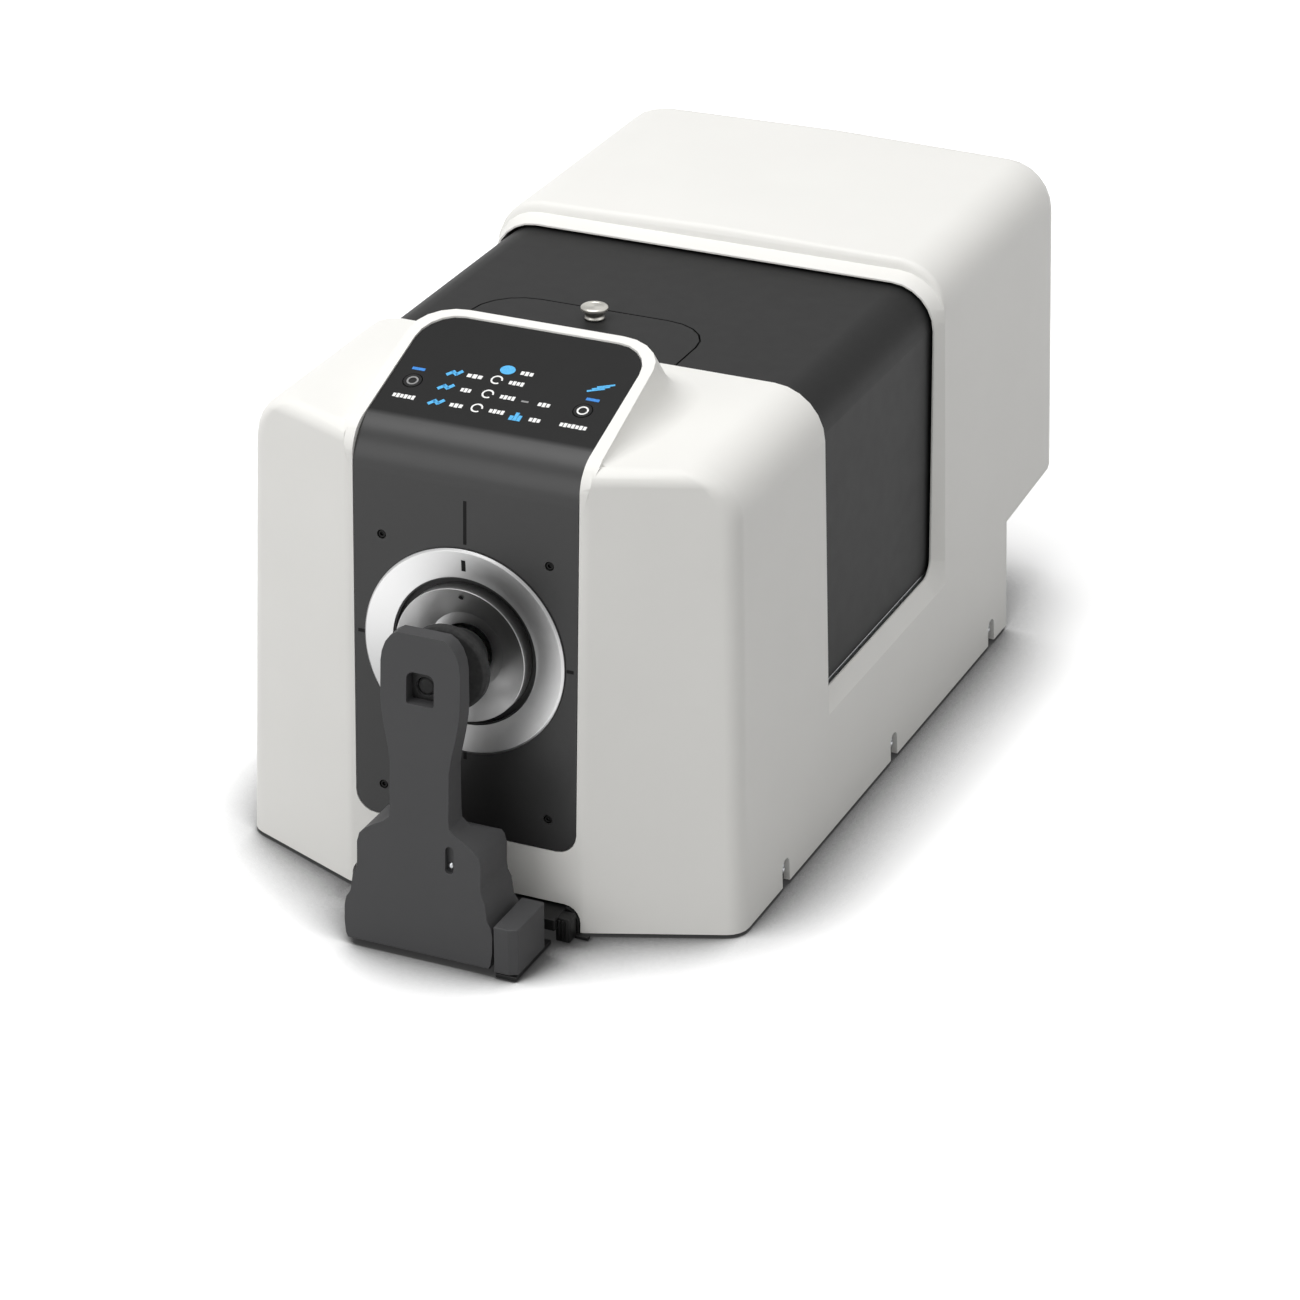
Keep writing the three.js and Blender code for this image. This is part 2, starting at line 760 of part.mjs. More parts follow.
// What stands in front of the fold between the hood's sides, widening outwards.
function beforeFold() {
  const ring = (x, ahead) => {
    const line = foldProfile(HOOD_LOW, OVERRUN, -TINY - ahead, TINY - RIM_PROUD - ahead, PANEL_FOLD_R);
    const corners = [
      [line.foot.x, line.foot.y, 0],
      [line.corner.x, line.corner.y, line.foldR],
      [line.end.x, line.end.y, 0],
      [-OVERRUN, line.end.y, 0],
      [-OVERRUN, line.foot.y, 0],
    ];
    return rounded(corners, 8).map((p) => new THREE.Vector3(x, p.x, p.y));
  };
  const half = hoodTopHalf;
  const rings = [
    ring(-half - LEDGE_FLARE, LEDGE_FLARE),
    ring(-half, 0),
    ring(half, 0),
    ring(half + LEDGE_FLARE, LEDGE_FLARE),
  ];
  return loft(rings, (r) => new THREE.Vector3(r[0].x, -OVERRUN / 2, SHOULDER_TOP + SHOULDER_R / 2));
}

// What the panel's front and plan outlines leave, drawn in by an amount.
function panelTrim(inset) {
  const half = PANEL_HALF - inset;
  const low = PANEL_LOW + inset;
  const high = HOUSING_TOP + OVERRUN;
  const front = [
    [-half, low, PANEL_LOW_R],
    [half, low, PANEL_LOW_R],
    [half, high, 0],
    [-half, high, 0],
  ];
  const rear = onSlope(PANEL_RUN)[0] - inset;
  const plan = [
    [-half, -OVERRUN, 0],
    [half, -OVERRUN, 0],
    [half, rear, PANEL_REAR_R],
    [-half, rear, PANEL_REAR_R],
  ];
  const upright = prismY(rounded(front), -OVERRUN, BODY_DEPTH);
  return upright.intersect(prismZ(rounded(plan), 0, high));
}

// Where the hood's rear stands at its top and at the shoulder, and how high it is.
const hoodTop = onSlope(PANEL_RUN + RIM, RIM_PROUD)[1];
const hoodTopRear = onSlope(PANEL_RUN + RIM)[0];
const hoodLowRear = hoodTopRear + HOOD_REAR_RUN;
const hoodHeight = hoodTop - SHOULDER_TOP;

// Hood: a tapered block with the control panel's slope as its top.
function hoodBlock(inset) {
  const plan = (z, rear, half) => {
    const corners = [
      [-half + inset, -OVERRUN, 0],
      [half - inset, -OVERRUN, 0],
      [half - inset, rear - inset, HOOD_CORNER_R - inset],
      [-half + inset, rear - inset, HOOD_CORNER_R - inset],
    ];
    return rounded(corners).map((p) => new THREE.Vector3(p.x, p.y, z));
  };
  const foot = SHOULDER_TOP - SHOULDER_R;
  const body = loft([
    plan(foot, hoodLowRear, HOOD_LOW_HALF),
    plan(SHOULDER_TOP, hoodLowRear, hoodTopHalf + HOOD_FLARE),
    plan(hoodTop, hoodTopRear, hoodTopHalf),
  ]);
  const below = foldProfile(HOOD_LOW, BODY_DEPTH / 2, inset, inset - RIM_PROUD, PANEL_FOLD_R);
  const corners = [
    [below.foot.x, below.foot.y, 0],
    [below.corner.x, below.corner.y, below.foldR],
    [below.end.x, below.end.y, 0],
    [below.end.x, below.foot.y, 0],
  ];
  return body.intersect(prismX(rounded(corners, 8), -BODY_WIDTH, BODY_WIDTH));
}

// Stations round the foot of the hood's right half: foot and head of its wall, and the way out of it.
function hoodStations() {
  const r = HOOD_CORNER_R;
  const stations = [];
  const steps = 6;
  for (let i = 0; i <= steps; i += 1) {
    const share = i / steps;
    const y = COVE_START + (hoodLowRear - r - COVE_START) * share;
    const foot = [hoodTopHalf + HOOD_FLARE, y];
    stations.push({ foot, head: [hoodTopHalf, y - HOOD_REAR_RUN * share], out: [1, 0] });
  }
  for (let i = 1; i <= 5; i += 1) {
    const angle = (i / 5) * (Math.PI / 2);
    const out = [Math.cos(angle), Math.sin(angle)];
    const at = (half, rear) => [half - r + r * out[0], rear - r + r * out[1]];
    stations.push({ foot: at(hoodTopHalf + HOOD_FLARE, hoodLowRear), head: at(hoodTopHalf, hoodTopRear), out });
  }
  return stations;
}

// Cove between the hood's wall and the shoulder, as high as the wall lets it be.
function hoodCove() {
  const ring = ({ foot, head, out }) => {
    const rise = (Math.min(foot[1], hoodTopRear) - foldY) * Math.tan(slope);
    const r = Math.min(COVE_R, (PANEL_FOLD_Z + rise - SHOULDER_TOP) * COVE_HEIGHT_SHARE + RIM_PROUD);
    const point = (u, v) => {
      const share = v / hoodHeight;
      const x = foot[0] + (head[0] - foot[0]) * share + out[0] * u;
      const y = foot[1] + (head[1] - foot[1]) * share + out[1] * u;
      return new THREE.Vector3(x, y, SHOULDER_TOP + v);
    };
    const points = [point(-WALL, -WALL / 2), point(-WALL, r)];
    const steps = 5;
    for (let i = 0; i <= steps; i += 1) {
      const angle = (i / steps) * (Math.PI / 2);
      points.push(point(r * (1 - Math.cos(angle)) - TINY, r * (1 - Math.sin(angle))));
    }
    points.push(point(r, -WALL / 2));
    return points;
  };
  const right = hoodStations();
  const left = right.map(({ foot, head, out }) => ({
    foot: [-foot[0], foot[1]],
    head: [-head[0], head[1]],
    out: [-out[0], out[1]],
  }));
  return loft([...right, ...left.reverse()].map(ring));
}

// Sill along the foot of the lid opening, right side; the left one mirrors it.
function sill(sign) {
  const edge = LID_HALF - LID_DRAFT_SHARE * SILL_TOP + LID_GAP;
  const inner = sideAt(BAND_TOP) - WALL - TINY;
  const outline = [
    [sideAt(BAND_TOP), BAND_TOP],
    [edge + SILL_LIP, SILL_TOP],
    [edge, SILL_TOP],
    [edge, BAND_TOP - SILL_THICK + WALL],
    [inner, BAND_TOP - SILL_THICK],
    [sideAt(BAND_TOP - SILL_THICK), BAND_TOP - SILL_THICK],
  ];
  const points = outline.map(([x, z]) => new THREE.Vector2(sign * x, z));
  if (sign < 0) {
    points.reverse();
  }
  return prismY(points, UNIT_DEPTH - WALL, mouthEnd);
}

// Rounded lower rear corner of the lid opening, with the bevel that runs round it.
function openingCorner(sign) {
  const edge = LID_HALF - LID_DRAFT_SHARE * SILL_TOP + LID_GAP;
  const high = SILL_TOP + 2 * OPENING_R;
  const ring = (grow, xAt) => {
    const low = SILL_TOP - (grow ? SILL_TOP - BAND_TOP : 0);
    const rear = grow ? mouthEnd : HOUSING_START;
    const corners = [
      [HOUSING_START - OVERRUN, low, 0],
      [rear, low, grow ? OPENING_R + BEVEL_DEPTH : OPENING_R],
      [rear, high + OVERRUN, 0],
      [HOUSING_START - OVERRUN, high + OVERRUN, 0],
    ];
    return rounded(corners, 6).map((p) => new THREE.Vector3(sign * xAt(p.y), p.x, p.y));
  };
  const edgeAt = (z) => LID_HALF - LID_DRAFT_SHARE * z + LID_GAP + SILL_LIP;
  const pocket = loft([
    ring(false, () => edge - WALL),
    ring(false, edgeAt),
    ring(true, sideAt),
    ring(true, () => BODY_WIDTH),
  ]);
  const inner = Math.min(sign * edge, sign * BODY_WIDTH);
  const outer = Math.max(sign * edge, sign * BODY_WIDTH);
  const low = BAND_TOP - SILL_THICK / 4;
  const rear = mouthEnd + WALL / 2;
  const room = block(inner, outer, HOUSING_START - OPENING_R - WALL, rear, low, high);
  const gap = LID_GAP + TINY;
  const passage = loft([lidRing(UNIT_DEPTH, SILL_TOP - TINY, gap), lidRing(BODY_DEPTH, SILL_TOP - TINY, gap)]);
  const skin = bandBlock(low, high, rear + OVERRUN, TINY);
  return cut(skin.intersect(room), pocket.translate(0, TINY, -TINY), passage);
}

// Frame of the leaning front face at the port: local -Y points out of the port.
const portFrame = new THREE.Group();
portFrame.position.set(0, lean(PORT_Z), PORT_Z);
portFrame.rotation.x = -leanAngle;
portFrame.updateMatrix();
instrument.add(portFrame);

// Frame of the control panel's slope: local Y runs up the slope, local Z points out.
const slopeFrame = new THREE.Group();
slopeFrame.position.set(0, foldY, PANEL_FOLD_Z);
slopeFrame.rotation.x = slope;
slopeFrame.updateMatrix();
instrument.add(slopeFrame);

const inPort = (solid) => toSolid(toGeometry(solid), portFrame.matrix);
const onSlopeSolid = (solid) => toSolid(toGeometry(solid), slopeFrame.matrix);

// Main cover

function mainCover() {
  const outside = union(
    cut(unitBlock(COVER_LIFT, SHOULDER_TOP, UNIT_DEPTH), beforeFold()),
    bandBlock(COVER_LIFT, BAND_TOP, BAND_DEPTH),
    cut(housingOutside(), underOverhang(0, BAND_DEPTH)),
    hoodBlock(0),
    hoodCove(),
  );
  const low = -OVERRUN;
  const hollow = union(
    unitBlock(low, SHOULDER_TOP - WALL, UNIT_DEPTH + OVERRUN, WALL, FRONT_WALL),
    bandBlock(low, SILL_TOP + TINY, BAND_DEPTH - WALL, WALL, FRONT_WALL),
    cut(housingInside(), underOverhang(WALL, BAND_DEPTH - WALL)),
    hoodBlock(FRONT_WALL + RIM_PROUD),
    loft([lidRing(UNIT_DEPTH, SILL_TOP, LID_GAP), lidRing(roomStart + TINY, SILL_TOP, LID_GAP)]),
  );
  const gapAbove = block(-BODY_WIDTH, BODY_WIDTH, UNIT_DEPTH, HOUSING_START, SILL_TOP, HOUSING_TOP + OVERRUN);
  let cover = union(cut(outside, hollow, gapAbove), sill(1), sill(-1), openingCorner(1), openingCorner(-1));
  const pocket = foldBand(0, PANEL_RUN + OVERRUN, -OVERRUN / 4, PANEL_THICK + SEAT_GAP, -BODY_WIDTH, BODY_WIDTH);
  cover = cover.subtract(pocket.intersect(panelTrim(-SEAT_GAP)));
  const through = foldBand(0, PANEL_RUN + OVERRUN, 0, FRONT_WALL + PANEL_LIP, -BODY_WIDTH, BODY_WIDTH);
  cover = cover.subtract(through.intersect(panelTrim(PANEL_LIP)));
  const notch = [
    [-NOTCH_HALF, -OVERRUN, 0],
    [NOTCH_HALF, -OVERRUN, 0],
    [NOTCH_HALF, NOTCH_TOP, NOTCH_R],
    [-NOTCH_HALF, NOTCH_TOP, NOTCH_R],
  ];
  cover = cover.subtract(prismY(rounded(notch), -OVERRUN, OVERRUN));
  sideScrewYs().forEach((y) => {
    const outline = [
      [y - SIDE_NOTCH_HALF, -OVERRUN, 0],
      [y + SIDE_NOTCH_HALF, -OVERRUN, 0],
      [y + SIDE_NOTCH_HALF, SIDE_NOTCH_TOP, SIDE_NOTCH_HALF],
      [y - SIDE_NOTCH_HALF, SIDE_NOTCH_TOP, SIDE_NOTCH_HALF],
    ];
    cover = cover.subtract(prismX(rounded(outline, 3), -BODY_WIDTH, BODY_WIDTH));
  });
  const half = PLATE_HALF - PLATE_LIP;
  return cover.subtract(
    block(-half, half, BAND_DEPTH - OVERRUN / 4, BAND_DEPTH + WALL, PLATE_LOW + PLATE_LIP, PLATE_TOP - PLATE_LIP),
  );
}

function sideScrewYs() {
  const ys = [];
  const first = BASE_START + SIDE_SCREW_FRONT_INSET;
  const run = BASE_END - SIDE_SCREW_REAR_INSET - first;
  for (let i = 0; i < SIDE_SCREW_COUNT; i += 1) {
    ys.push(first + (i / (SIDE_SCREW_COUNT - 1)) * run);
  }
  return ys;
}

place('main_cover', mainCover(), WHITE_SHELL);

// Front panel with its port hole, screw holes and button holes

const screwSpots = [
  [-SCREW_X, SCREW_UP],
  [SCREW_X, SCREW_UP],
  [-SCREW_X, -SCREW_DOWN],
  [SCREW_X, -SCREW_DOWN],
];

function frontPanel() {
  let panel = foldBand(0, PANEL_RUN + OVERRUN, 0, PANEL_THICK, -PANEL_HALF, PANEL_HALF);
  panel = panel.intersect(panelTrim(0));
  panel = panel.subtract(inPort(rodY(PANEL_HOLE_R, -OVERRUN / 4, OVERRUN / 4, 0, 0, 48)));
  screwSpots.forEach(([x, z]) => {
    panel = panel.subtract(inPort(rodY(SCREW_R + SEAT_GAP, -OVERRUN / 4, OVERRUN / 4, x, z, 12)));
  });
  [BUTTON_LEFT_X, BUTTON_RIGHT_X].forEach((x) => {
    const hole = rodZ(BUTTON_R + RUN_GAP, -OVERRUN / 4, OVERRUN / 4, x, BUTTON_RUN, 24);
    panel = panel.subtract(onSlopeSolid(hole));
  });
  return panel;
}

place('front_panel', frontPanel(), DARK_PANEL);

// Measuring port

place(
  'port_outer_ring',
  turned([
    [RING_BORE_R, -SEAT_GAP],
    [RING_BORE_R, -RING_INNER_PROUD],
    [RING_R - RING_INNER_PROUD, -RING_PROUD],
    [RING_R, -RING_PROUD + RING_INNER_PROUD],
    [RING_R, -SEAT_GAP],
  ]),
  SPUN_METAL,
  portFrame,
);

const seatStart = PANEL_THICK + SEAT_GAP;
const seatFace = seatStart + SEAT_THICK;

place(
  'port_seat',
  turned([
    [SEAT_BORE_R, seatStart],
    [SEAT_R, seatStart],
    [SEAT_R, seatFace],
    [SEAT_BORE_R, seatFace],
  ]),
  BLACK_PART,
  portFrame,
);

place(
  'target_mask',
  turned([
    [MASK_HOLE_R, seatStart - SEAT_GAP],
    [MASK_HOLE_R, MASK_CONE_DEPTH - MASK_PROUD],
    [MASK_CONE_R, MASK_CONE_DEPTH - MASK_PROUD],
    [MASK_R - MASK_RIM, -MASK_PROUD],
    [MASK_R, -MASK_PROUD],
    [MASK_R, seatStart - SEAT_GAP],
  ]),
  SPUN_METAL,
  portFrame,
);

screwSpots.forEach(([x, z], i) => {
  const screw = rodY(SCREW_R, SEAT_GAP, SCREW_LENGTH, 0, 0, 12);
  const mesh = place(`panel_screw_${i + 1}`, screw, BLACK_PART, portFrame);
  mesh.position.set(x, 0, z);
});

// Push buttons and the keypad board under the control panel

const buttonUnder = PANEL_THICK + SEAT_GAP + BUTTON_FLANGE_THICK;
const keypadTop = buttonUnder + BUTTON_TRAVEL + SEAT_GAP;

[['left_button', BUTTON_LEFT_X], ['right_button', BUTTON_RIGHT_X]].forEach(([name, x]) => {
  const button = union(
    rodZ(BUTTON_R, -buttonUnder, BUTTON_PROUD, 0, 0, 24),
    rodZ(BUTTON_R + BUTTON_FLANGE, -buttonUnder, -PANEL_THICK - SEAT_GAP, 0, 0, 24),
  );
  const mesh = place(name, button, DARK_PANEL, slopeFrame);
  mesh.position.set(x, BUTTON_RUN, 0);
});

function keypadBoard() {
  const low = -keypadTop - BOARD_THICK;
  let board = block(-KEYPAD_HALF, KEYPAD_HALF, KEYPAD_START, KEYPAD_START + KEYPAD_LENGTH, low, -keypadTop);
  [-1, 0, 1].forEach((side) => {
    const x = side * (KEYPAD_HALF / 2);
    const y = KEYPAD_START + KEYPAD_LENGTH / 2;
    board = board.add(rodZ(POST_R, low, -PANEL_THICK - SEAT_GAP, x, y, 12));
  });
  return board;
}

place('keypad_board', keypadBoard(), BOARD_GREEN, slopeFrame);

// Lid that slides back into the rear housing

function lidShell() {
  const outer = loft([lidRing(LID_START, LID_LOW, 0), lidRing(LID_END, LID_LOW, 0)]);
  const inner = loft([
    lidRing(LID_START - OVERRUN, -OVERRUN, -LID_THICK),
    lidRing(LID_END + OVERRUN, -OVERRUN, -LID_THICK),
  ]);
  return cut(outer, inner);
}

const doorLeft = DOOR_X - DOOR_HALF;
const doorRight = DOOR_X + DOOR_HALF;
const pinZ = LID_TOP - DOOR_PIN_DROP;
const lidUnder = LID_TOP - LID_THICK;

function doorOutline(grow, front) {
  return rounded([
    [doorLeft - grow, front, 0],
    [doorRight + grow, front, 0],
    [doorRight + grow, DOOR_END + grow, DOOR_R + grow],
    [doorLeft - grow, DOOR_END + grow, DOOR_R + grow],
  ]);
}

function lidCover() {
  const ledgeLow = lidUnder - LEDGE_THICK;
  const ledgeFront = DOOR_PIN_Y + DOOR_BARREL_R + DOOR_LEDGE;
  const ledge = cut(
    prismZ(doorOutline(DOOR_LEDGE, ledgeFront), ledgeLow, lidUnder + TINY),
    prismZ(doorOutline(-DOOR_LEDGE, LID_START - OVERRUN), ledgeLow - OVERRUN, LID_TOP),
  );
  const hatch = prismZ(doorOutline(DOOR_GAP, LID_START - OVERRUN), lidUnder - TINY, LID_TOP + OVERRUN);
  const seat = prismZ(doorOutline(DOOR_GAP, LID_START - OVERRUN), lidUnder - SEAT_GAP, LID_TOP);
  let lid = cut(union(lidShell(), ledge), hatch, seat);
  const lugs = [
    [doorLeft - DOOR_GAP - LUG_THICK, doorLeft - DOOR_GAP],
    [doorRight + DOOR_GAP, doorRight + DOOR_GAP + LUG_THICK],
  ];
  lugs.forEach(([x0, x1]) => {
    const y0 = DOOR_PIN_Y - DOOR_BARREL_R;
    const y1 = DOOR_PIN_Y + DOOR_BARREL_R;
    const lug = block(x0, x1, y0, y1, pinZ - DOOR_BARREL_R, lidUnder + TINY);
    lid = union(lid, cut(lug, rodX(DOOR_PIN_R + SEAT_GAP, x0 - LUG_THICK, x1 + LUG_THICK, DOOR_PIN_Y, pinZ, 16)));
  });
  return lid.subtract(rodX(DOOR_PIN_R + SEAT_GAP, lugs[0][0], lugs[1][1], DOOR_PIN_Y, pinZ, 16));
}

place('lid', lidCover(), DARK_SHELL);

function accessDoor() {
  const leaf = prismZ(doorOutline(0, LID_START + DOOR_GAP), lidUnder, LID_TOP);
  const barrel = union(
    rodX(DOOR_BARREL_R, doorLeft, doorRight, DOOR_PIN_Y, pinZ, 16),
    block(doorLeft, doorRight, DOOR_PIN_Y - DOOR_PIN_R, DOOR_PIN_Y + DOOR_PIN_R, pinZ, lidUnder + TINY),
  );
  const bore = rodX(DOOR_PIN_R + SEAT_GAP, doorLeft - OVERRUN, doorRight + OVERRUN, DOOR_PIN_Y, pinZ, 16);
  return cut(union(leaf, barrel), bore);
}

place('access_door', accessDoor(), DARK_SHELL);

const pinReach = DOOR_GAP + LUG_THICK;
place(
  'door_hinge_pin',
  rodX(DOOR_PIN_R, doorLeft - pinReach, doorRight + pinReach, DOOR_PIN_Y, pinZ, 12),
  STEEL,
);

function knob() {
  const profile = [
    [0, SEAT_GAP],
    [KNOB_FOOT_R, SEAT_GAP],
    [KNOB_NECK_R, KNOB_HEIGHT / 2],
    [KNOB_TOP_R, KNOB_HEIGHT - KNOB_CROWN],
    [KNOB_TOP_R, KNOB_HEIGHT - KNOB_CROWN / 3],
    [KNOB_TOP_R - KNOB_CROWN / 3, KNOB_HEIGHT],
    [0, KNOB_HEIGHT],
  ];
  return turned(profile, 32);
}

const knobMesh = place('door_knob', knob(), SPUN_METAL);
knobMesh.rotation.x = Math.PI / 2;
knobMesh.position.set(DOOR_X, KNOB_Y, LID_TOP);

// Sample holder arm with its bell-shaped foot

// Half outline of the arm, from its heel to its top: shares of the bell's half width and the arm's height.
const ARM_SHARES = [
  [0.86, 0],
  [0.93, 0.01],
  [0.975, 0.033],
  [0.995, 0.07],
  [0.995, 0.12],
  [0.973, 0.147],
  [0.918, 0.168],
  [0.885, 0.222],
  [0.84, 0.243],
  [0.828, 0.268],
  [0.83, 0.33],
  [0.8, 0.357],
  [0.737, 0.374],
  [0.608, 0.394],
  [0.48, 0.41],
  [0.4, 0.428],
  [0.392, 0.46],
  [0.392, 0.6],
  [0.42, 0.645],
  [0.475, 0.705],
  [0.513, 0.76],
  [0.525, 0.8],
  [0.525, 0.905],
  [0.508, 0.935],
  [0.46, 0.965],
  [0.39, 0.987],
  [0.3, 1],
];

const heelZ = PIVOT_Z - HEEL_R;

function armOutline(inset) {
  const half = ARM_SHARES.map(([w, h]) => {
    const x = Math.max(w * BELL_HALF - inset, TINY);
    return new THREE.Vector2(x, heelZ + h * (ARM_TOP - heelZ));
  });
  const left = half.map((p) => new THREE.Vector2(-p.x, p.y)).reverse();
  return [...half, ...left];
}

// Front line of the arm in side view, moved in by a wall.
function armFront(z, wall) {
  const share = (z - heelZ) / (ARM_TOP - heelZ);
  return ARM_LOW_FRONT + (ARM_TOP_FRONT - ARM_LOW_FRONT) * share + wall;
}

// Heel round the pivot, as points from below the pivot to the front line.
function heelArc(radius, front, steps) {
  const end = Math.acos(THREE.MathUtils.clamp((PIVOT_Y - front) / radius, -1, 1));
  const points = [];
  for (let i = 0; i <= steps; i += 1) {
    const angle = -Math.PI / 2 - (i / steps) * (Math.PI / 2 - end);
    points.push(new THREE.Vector2(PIVOT_Y + radius * Math.cos(angle), PIVOT_Z + radius * Math.sin(angle)));
  }
  return points;
}

function armBody() {
  const neckRear = ARM_TOP_FRONT + ARM_THICK;
  const side = [
    ...heelArc(HEEL_R, ARM_LOW_FRONT, 6),
    new THREE.Vector2(armFront(ARM_TOP, 0), ARM_TOP),
    new THREE.Vector2(neckRear, ARM_TOP),
    new THREE.Vector2(neckRear, BELL_TOP + BELL_WALL),
    new THREE.Vector2(BELL_REAR, BELL_TOP - BELL_WALL),
    new THREE.Vector2(BELL_REAR, PIVOT_Z - HEEL_R / 2),
    new THREE.Vector2(PIVOT_Y + HEEL_R / 2, heelZ),
  ];
  const solid = prismY(armOutline(0), -HOLDER_REACH, 0).intersect(prismX(side, -BODY_WIDTH, BODY_WIDTH));
  const hollowTop = BELL_TOP - 2 * BELL_WALL;
  const inside = [
    ...heelArc(HEEL_R - BELL_WALL, ARM_LOW_FRONT + BELL_WALL, 6).slice(1),
    new THREE.Vector2(armFront(hollowTop, BELL_WALL), hollowTop),
    new THREE.Vector2(BELL_REAR + OVERRUN, hollowTop),
    new THREE.Vector2(BELL_REAR + OVERRUN, -OVERRUN),
    new THREE.Vector2(PIVOT_Y, -OVERRUN),
    new THREE.Vector2(PIVOT_Y - HEEL_R / 4, heelZ + BELL_WALL / 3),
  ];
  const shell = armOutline(BELL_WALL).filter((p) => p.y < BELL_TOP);
  const lower = shell.map((p) => new THREE.Vector2(p.x, p.y < heelZ + TINY ? -OVERRUN : p.y));
  const hollow = prismY(lower, -HOLDER_REACH, OVERRUN).intersect(prismX(inside, -BODY_WIDTH, BODY_WIDTH));
  return cut(solid, hollow);
}

function holderArm() {
  const windowOutline = rounded([
    [-WINDOW_HALF, WINDOW_LOW, WINDOW_R],
    [WINDOW_HALF, WINDOW_LOW, WINDOW_R],
    [WINDOW_HALF, WINDOW_TOP, WINDOW_HALF / 2],
    [-WINDOW_HALF, WINDOW_TOP, WINDOW_HALF / 2],
  ]);
  const rear = ARM_TOP_FRONT + ARM_THICK;
  const windowBack = rear - BELL_WALL;
  const slot = rounded([
    [SLOT_X - SLOT_HALF, SLOT_LOW, SLOT_HALF],
    [SLOT_X + SLOT_HALF, SLOT_LOW, SLOT_HALF],
    [SLOT_X + SLOT_HALF, SLOT_TOP, SLOT_HALF],
    [SLOT_X - SLOT_HALF, SLOT_TOP, SLOT_HALF],
  ]);
  const slotBack = armFront(SLOT_TOP, SLOT_DEPTH);
  const passNear = EAR_NEAR - EAR_SIDE_GAP;
  const passFar = EAR_FAR + EAR_SIDE_GAP;
  const passFront = PIVOT_Y - EAR_DROP - EAR_SIDE_GAP;
  return cut(
    armBody(),
    block(passNear, passFar, passFront, OVERRUN, -OVERRUN, PIVOT_Z),
    block(-passFar, -passNear, passFront, OVERRUN, -OVERRUN, PIVOT_Z),
    prismY(windowOutline, -HOLDER_REACH, windowBack),
    rodY(STEM_R + STEM_BORE_GAP, -HOLDER_REACH, OVERRUN, 0, PORT_Z),
    prismY(slot, -HOLDER_REACH, slotBack),
    rodX(PIN_R + SEAT_GAP, -BODY_WIDTH, BODY_WIDTH, PIVOT_Y, PIVOT_Z),
  );
}

place('holder_arm', holderArm(), DARK_PANEL);

// Sample pad: a disc with a nose that reaches the mask's flat, on a stem that slides in the arm

const maskFlat = lean(PORT_Z) + MASK_CONE_DEPTH - MASK_PROUD;
const padTip = maskFlat - PAD_REST_GAP - PAD_NOSE_R * FRONT_LEAN_SHARE;
const padFace = -PAD_FRONT;
const padBack = padFace - PAD_DISC;

function samplePad() {
  const stemEnd = ARM_TOP_FRONT + STEM_END;
  const profile = [
    [0, stemEnd],
    [STEM_R, stemEnd],
    [STEM_R, padBack],
    [PAD_R - PAD_EDGE, padBack],
    [PAD_R, padBack + PAD_EDGE],
    [PAD_R, padFace - PAD_EDGE],
    [PAD_R - PAD_EDGE, padFace],
    [PAD_NOSE_R, padFace],
    [PAD_NOSE_R - PAD_EDGE, padTip],
    [0, padTip],
  ];
  return turned(profile, 40);
}

const padMesh = place('sample_pad', samplePad(), RUBBER);
padMesh.position.z = PORT_Z;

const springStart = ARM_TOP_FRONT + ARM_THICK + PAD_SPRING_WIRE_R + SEAT_GAP;
const springEnd = padBack - PAD_TRAVEL - PAD_SPRING_WIRE_R - SEAT_GAP;
const padSpring = coil('pad_spring', PAD_SPRING_WIRE_R, PAD_SPRING_COILS, (angle, share) => {
  const y = springStart + (springEnd - springStart) * share;
  return new THREE.Vector3(PAD_SPRING_R * Math.cos(angle), y, PORT_Z + PAD_SPRING_R * Math.sin(angle));
});
place('pad_spring', padSpring, STEEL);

// Bracket in the arched notch: a plate under the cover, two ears at the pivot and a floor tongue

const baseTop = BASE_LOW + BASE_THICK;
const bracketLow = baseTop + SEAT_GAP;
const bracketTop = bracketLow + BRACKET_THICK;

function holderBracket() {
  let bracket = block(-BRACKET_HALF, BRACKET_HALF, BRACKET_FRONT, BRACKET_REAR, bracketLow, bracketTop);
  [-1, 1].forEach((side) => {
    const x0 = Math.min(side * EAR_NEAR, side * EAR_FAR);
    const x1 = Math.max(side * EAR_NEAR, side * EAR_FAR);
    bracket = union(
      bracket,
      rodX(EAR_R, x0, x1, PIVOT_Y, PIVOT_Z),
      block(x0, x1, PIVOT_Y, BRACKET_FRONT + WALL, PIVOT_Z - EAR_DROP, PIVOT_Z + EAR_R),
    );
  });
  return bracket.subtract(rodX(PIN_R + SEAT_GAP, -BODY_WIDTH, BODY_WIDTH, PIVOT_Y, PIVOT_Z));
}

place('holder_bracket', holderBracket(), BLACK_PART);

function floorTongue() {
  const top = STRIP_LOW + STRIP_THICK;
  const far = STRIP_NEAR + STRIP_WIDTH;
  const barFront = BRACKET_FRONT - STRIP_BAR;
  const under = block(STRIP_NEAR, far, BLOCK_FRONT + SEAT_GAP, BRACKET_FRONT, STRIP_LOW, top);
  const bar = block(-EAR_NEAR, far, barFront, BRACKET_FRONT, STRIP_LOW, top);
  const riser = block(-EAR_NEAR, EAR_NEAR, BRACKET_FRONT - WALL, BRACKET_FRONT, STRIP_LOW, bracketLow - SEAT_GAP);
  const tail = block(-EAR_NEAR, EAR_NEAR, BRACKET_FRONT - WALL, BASE_START, STRIP_LOW, top);
  return union(under, bar, riser, tail);
}

place('floor_tongue', floorTongue(), BLACK_PART);

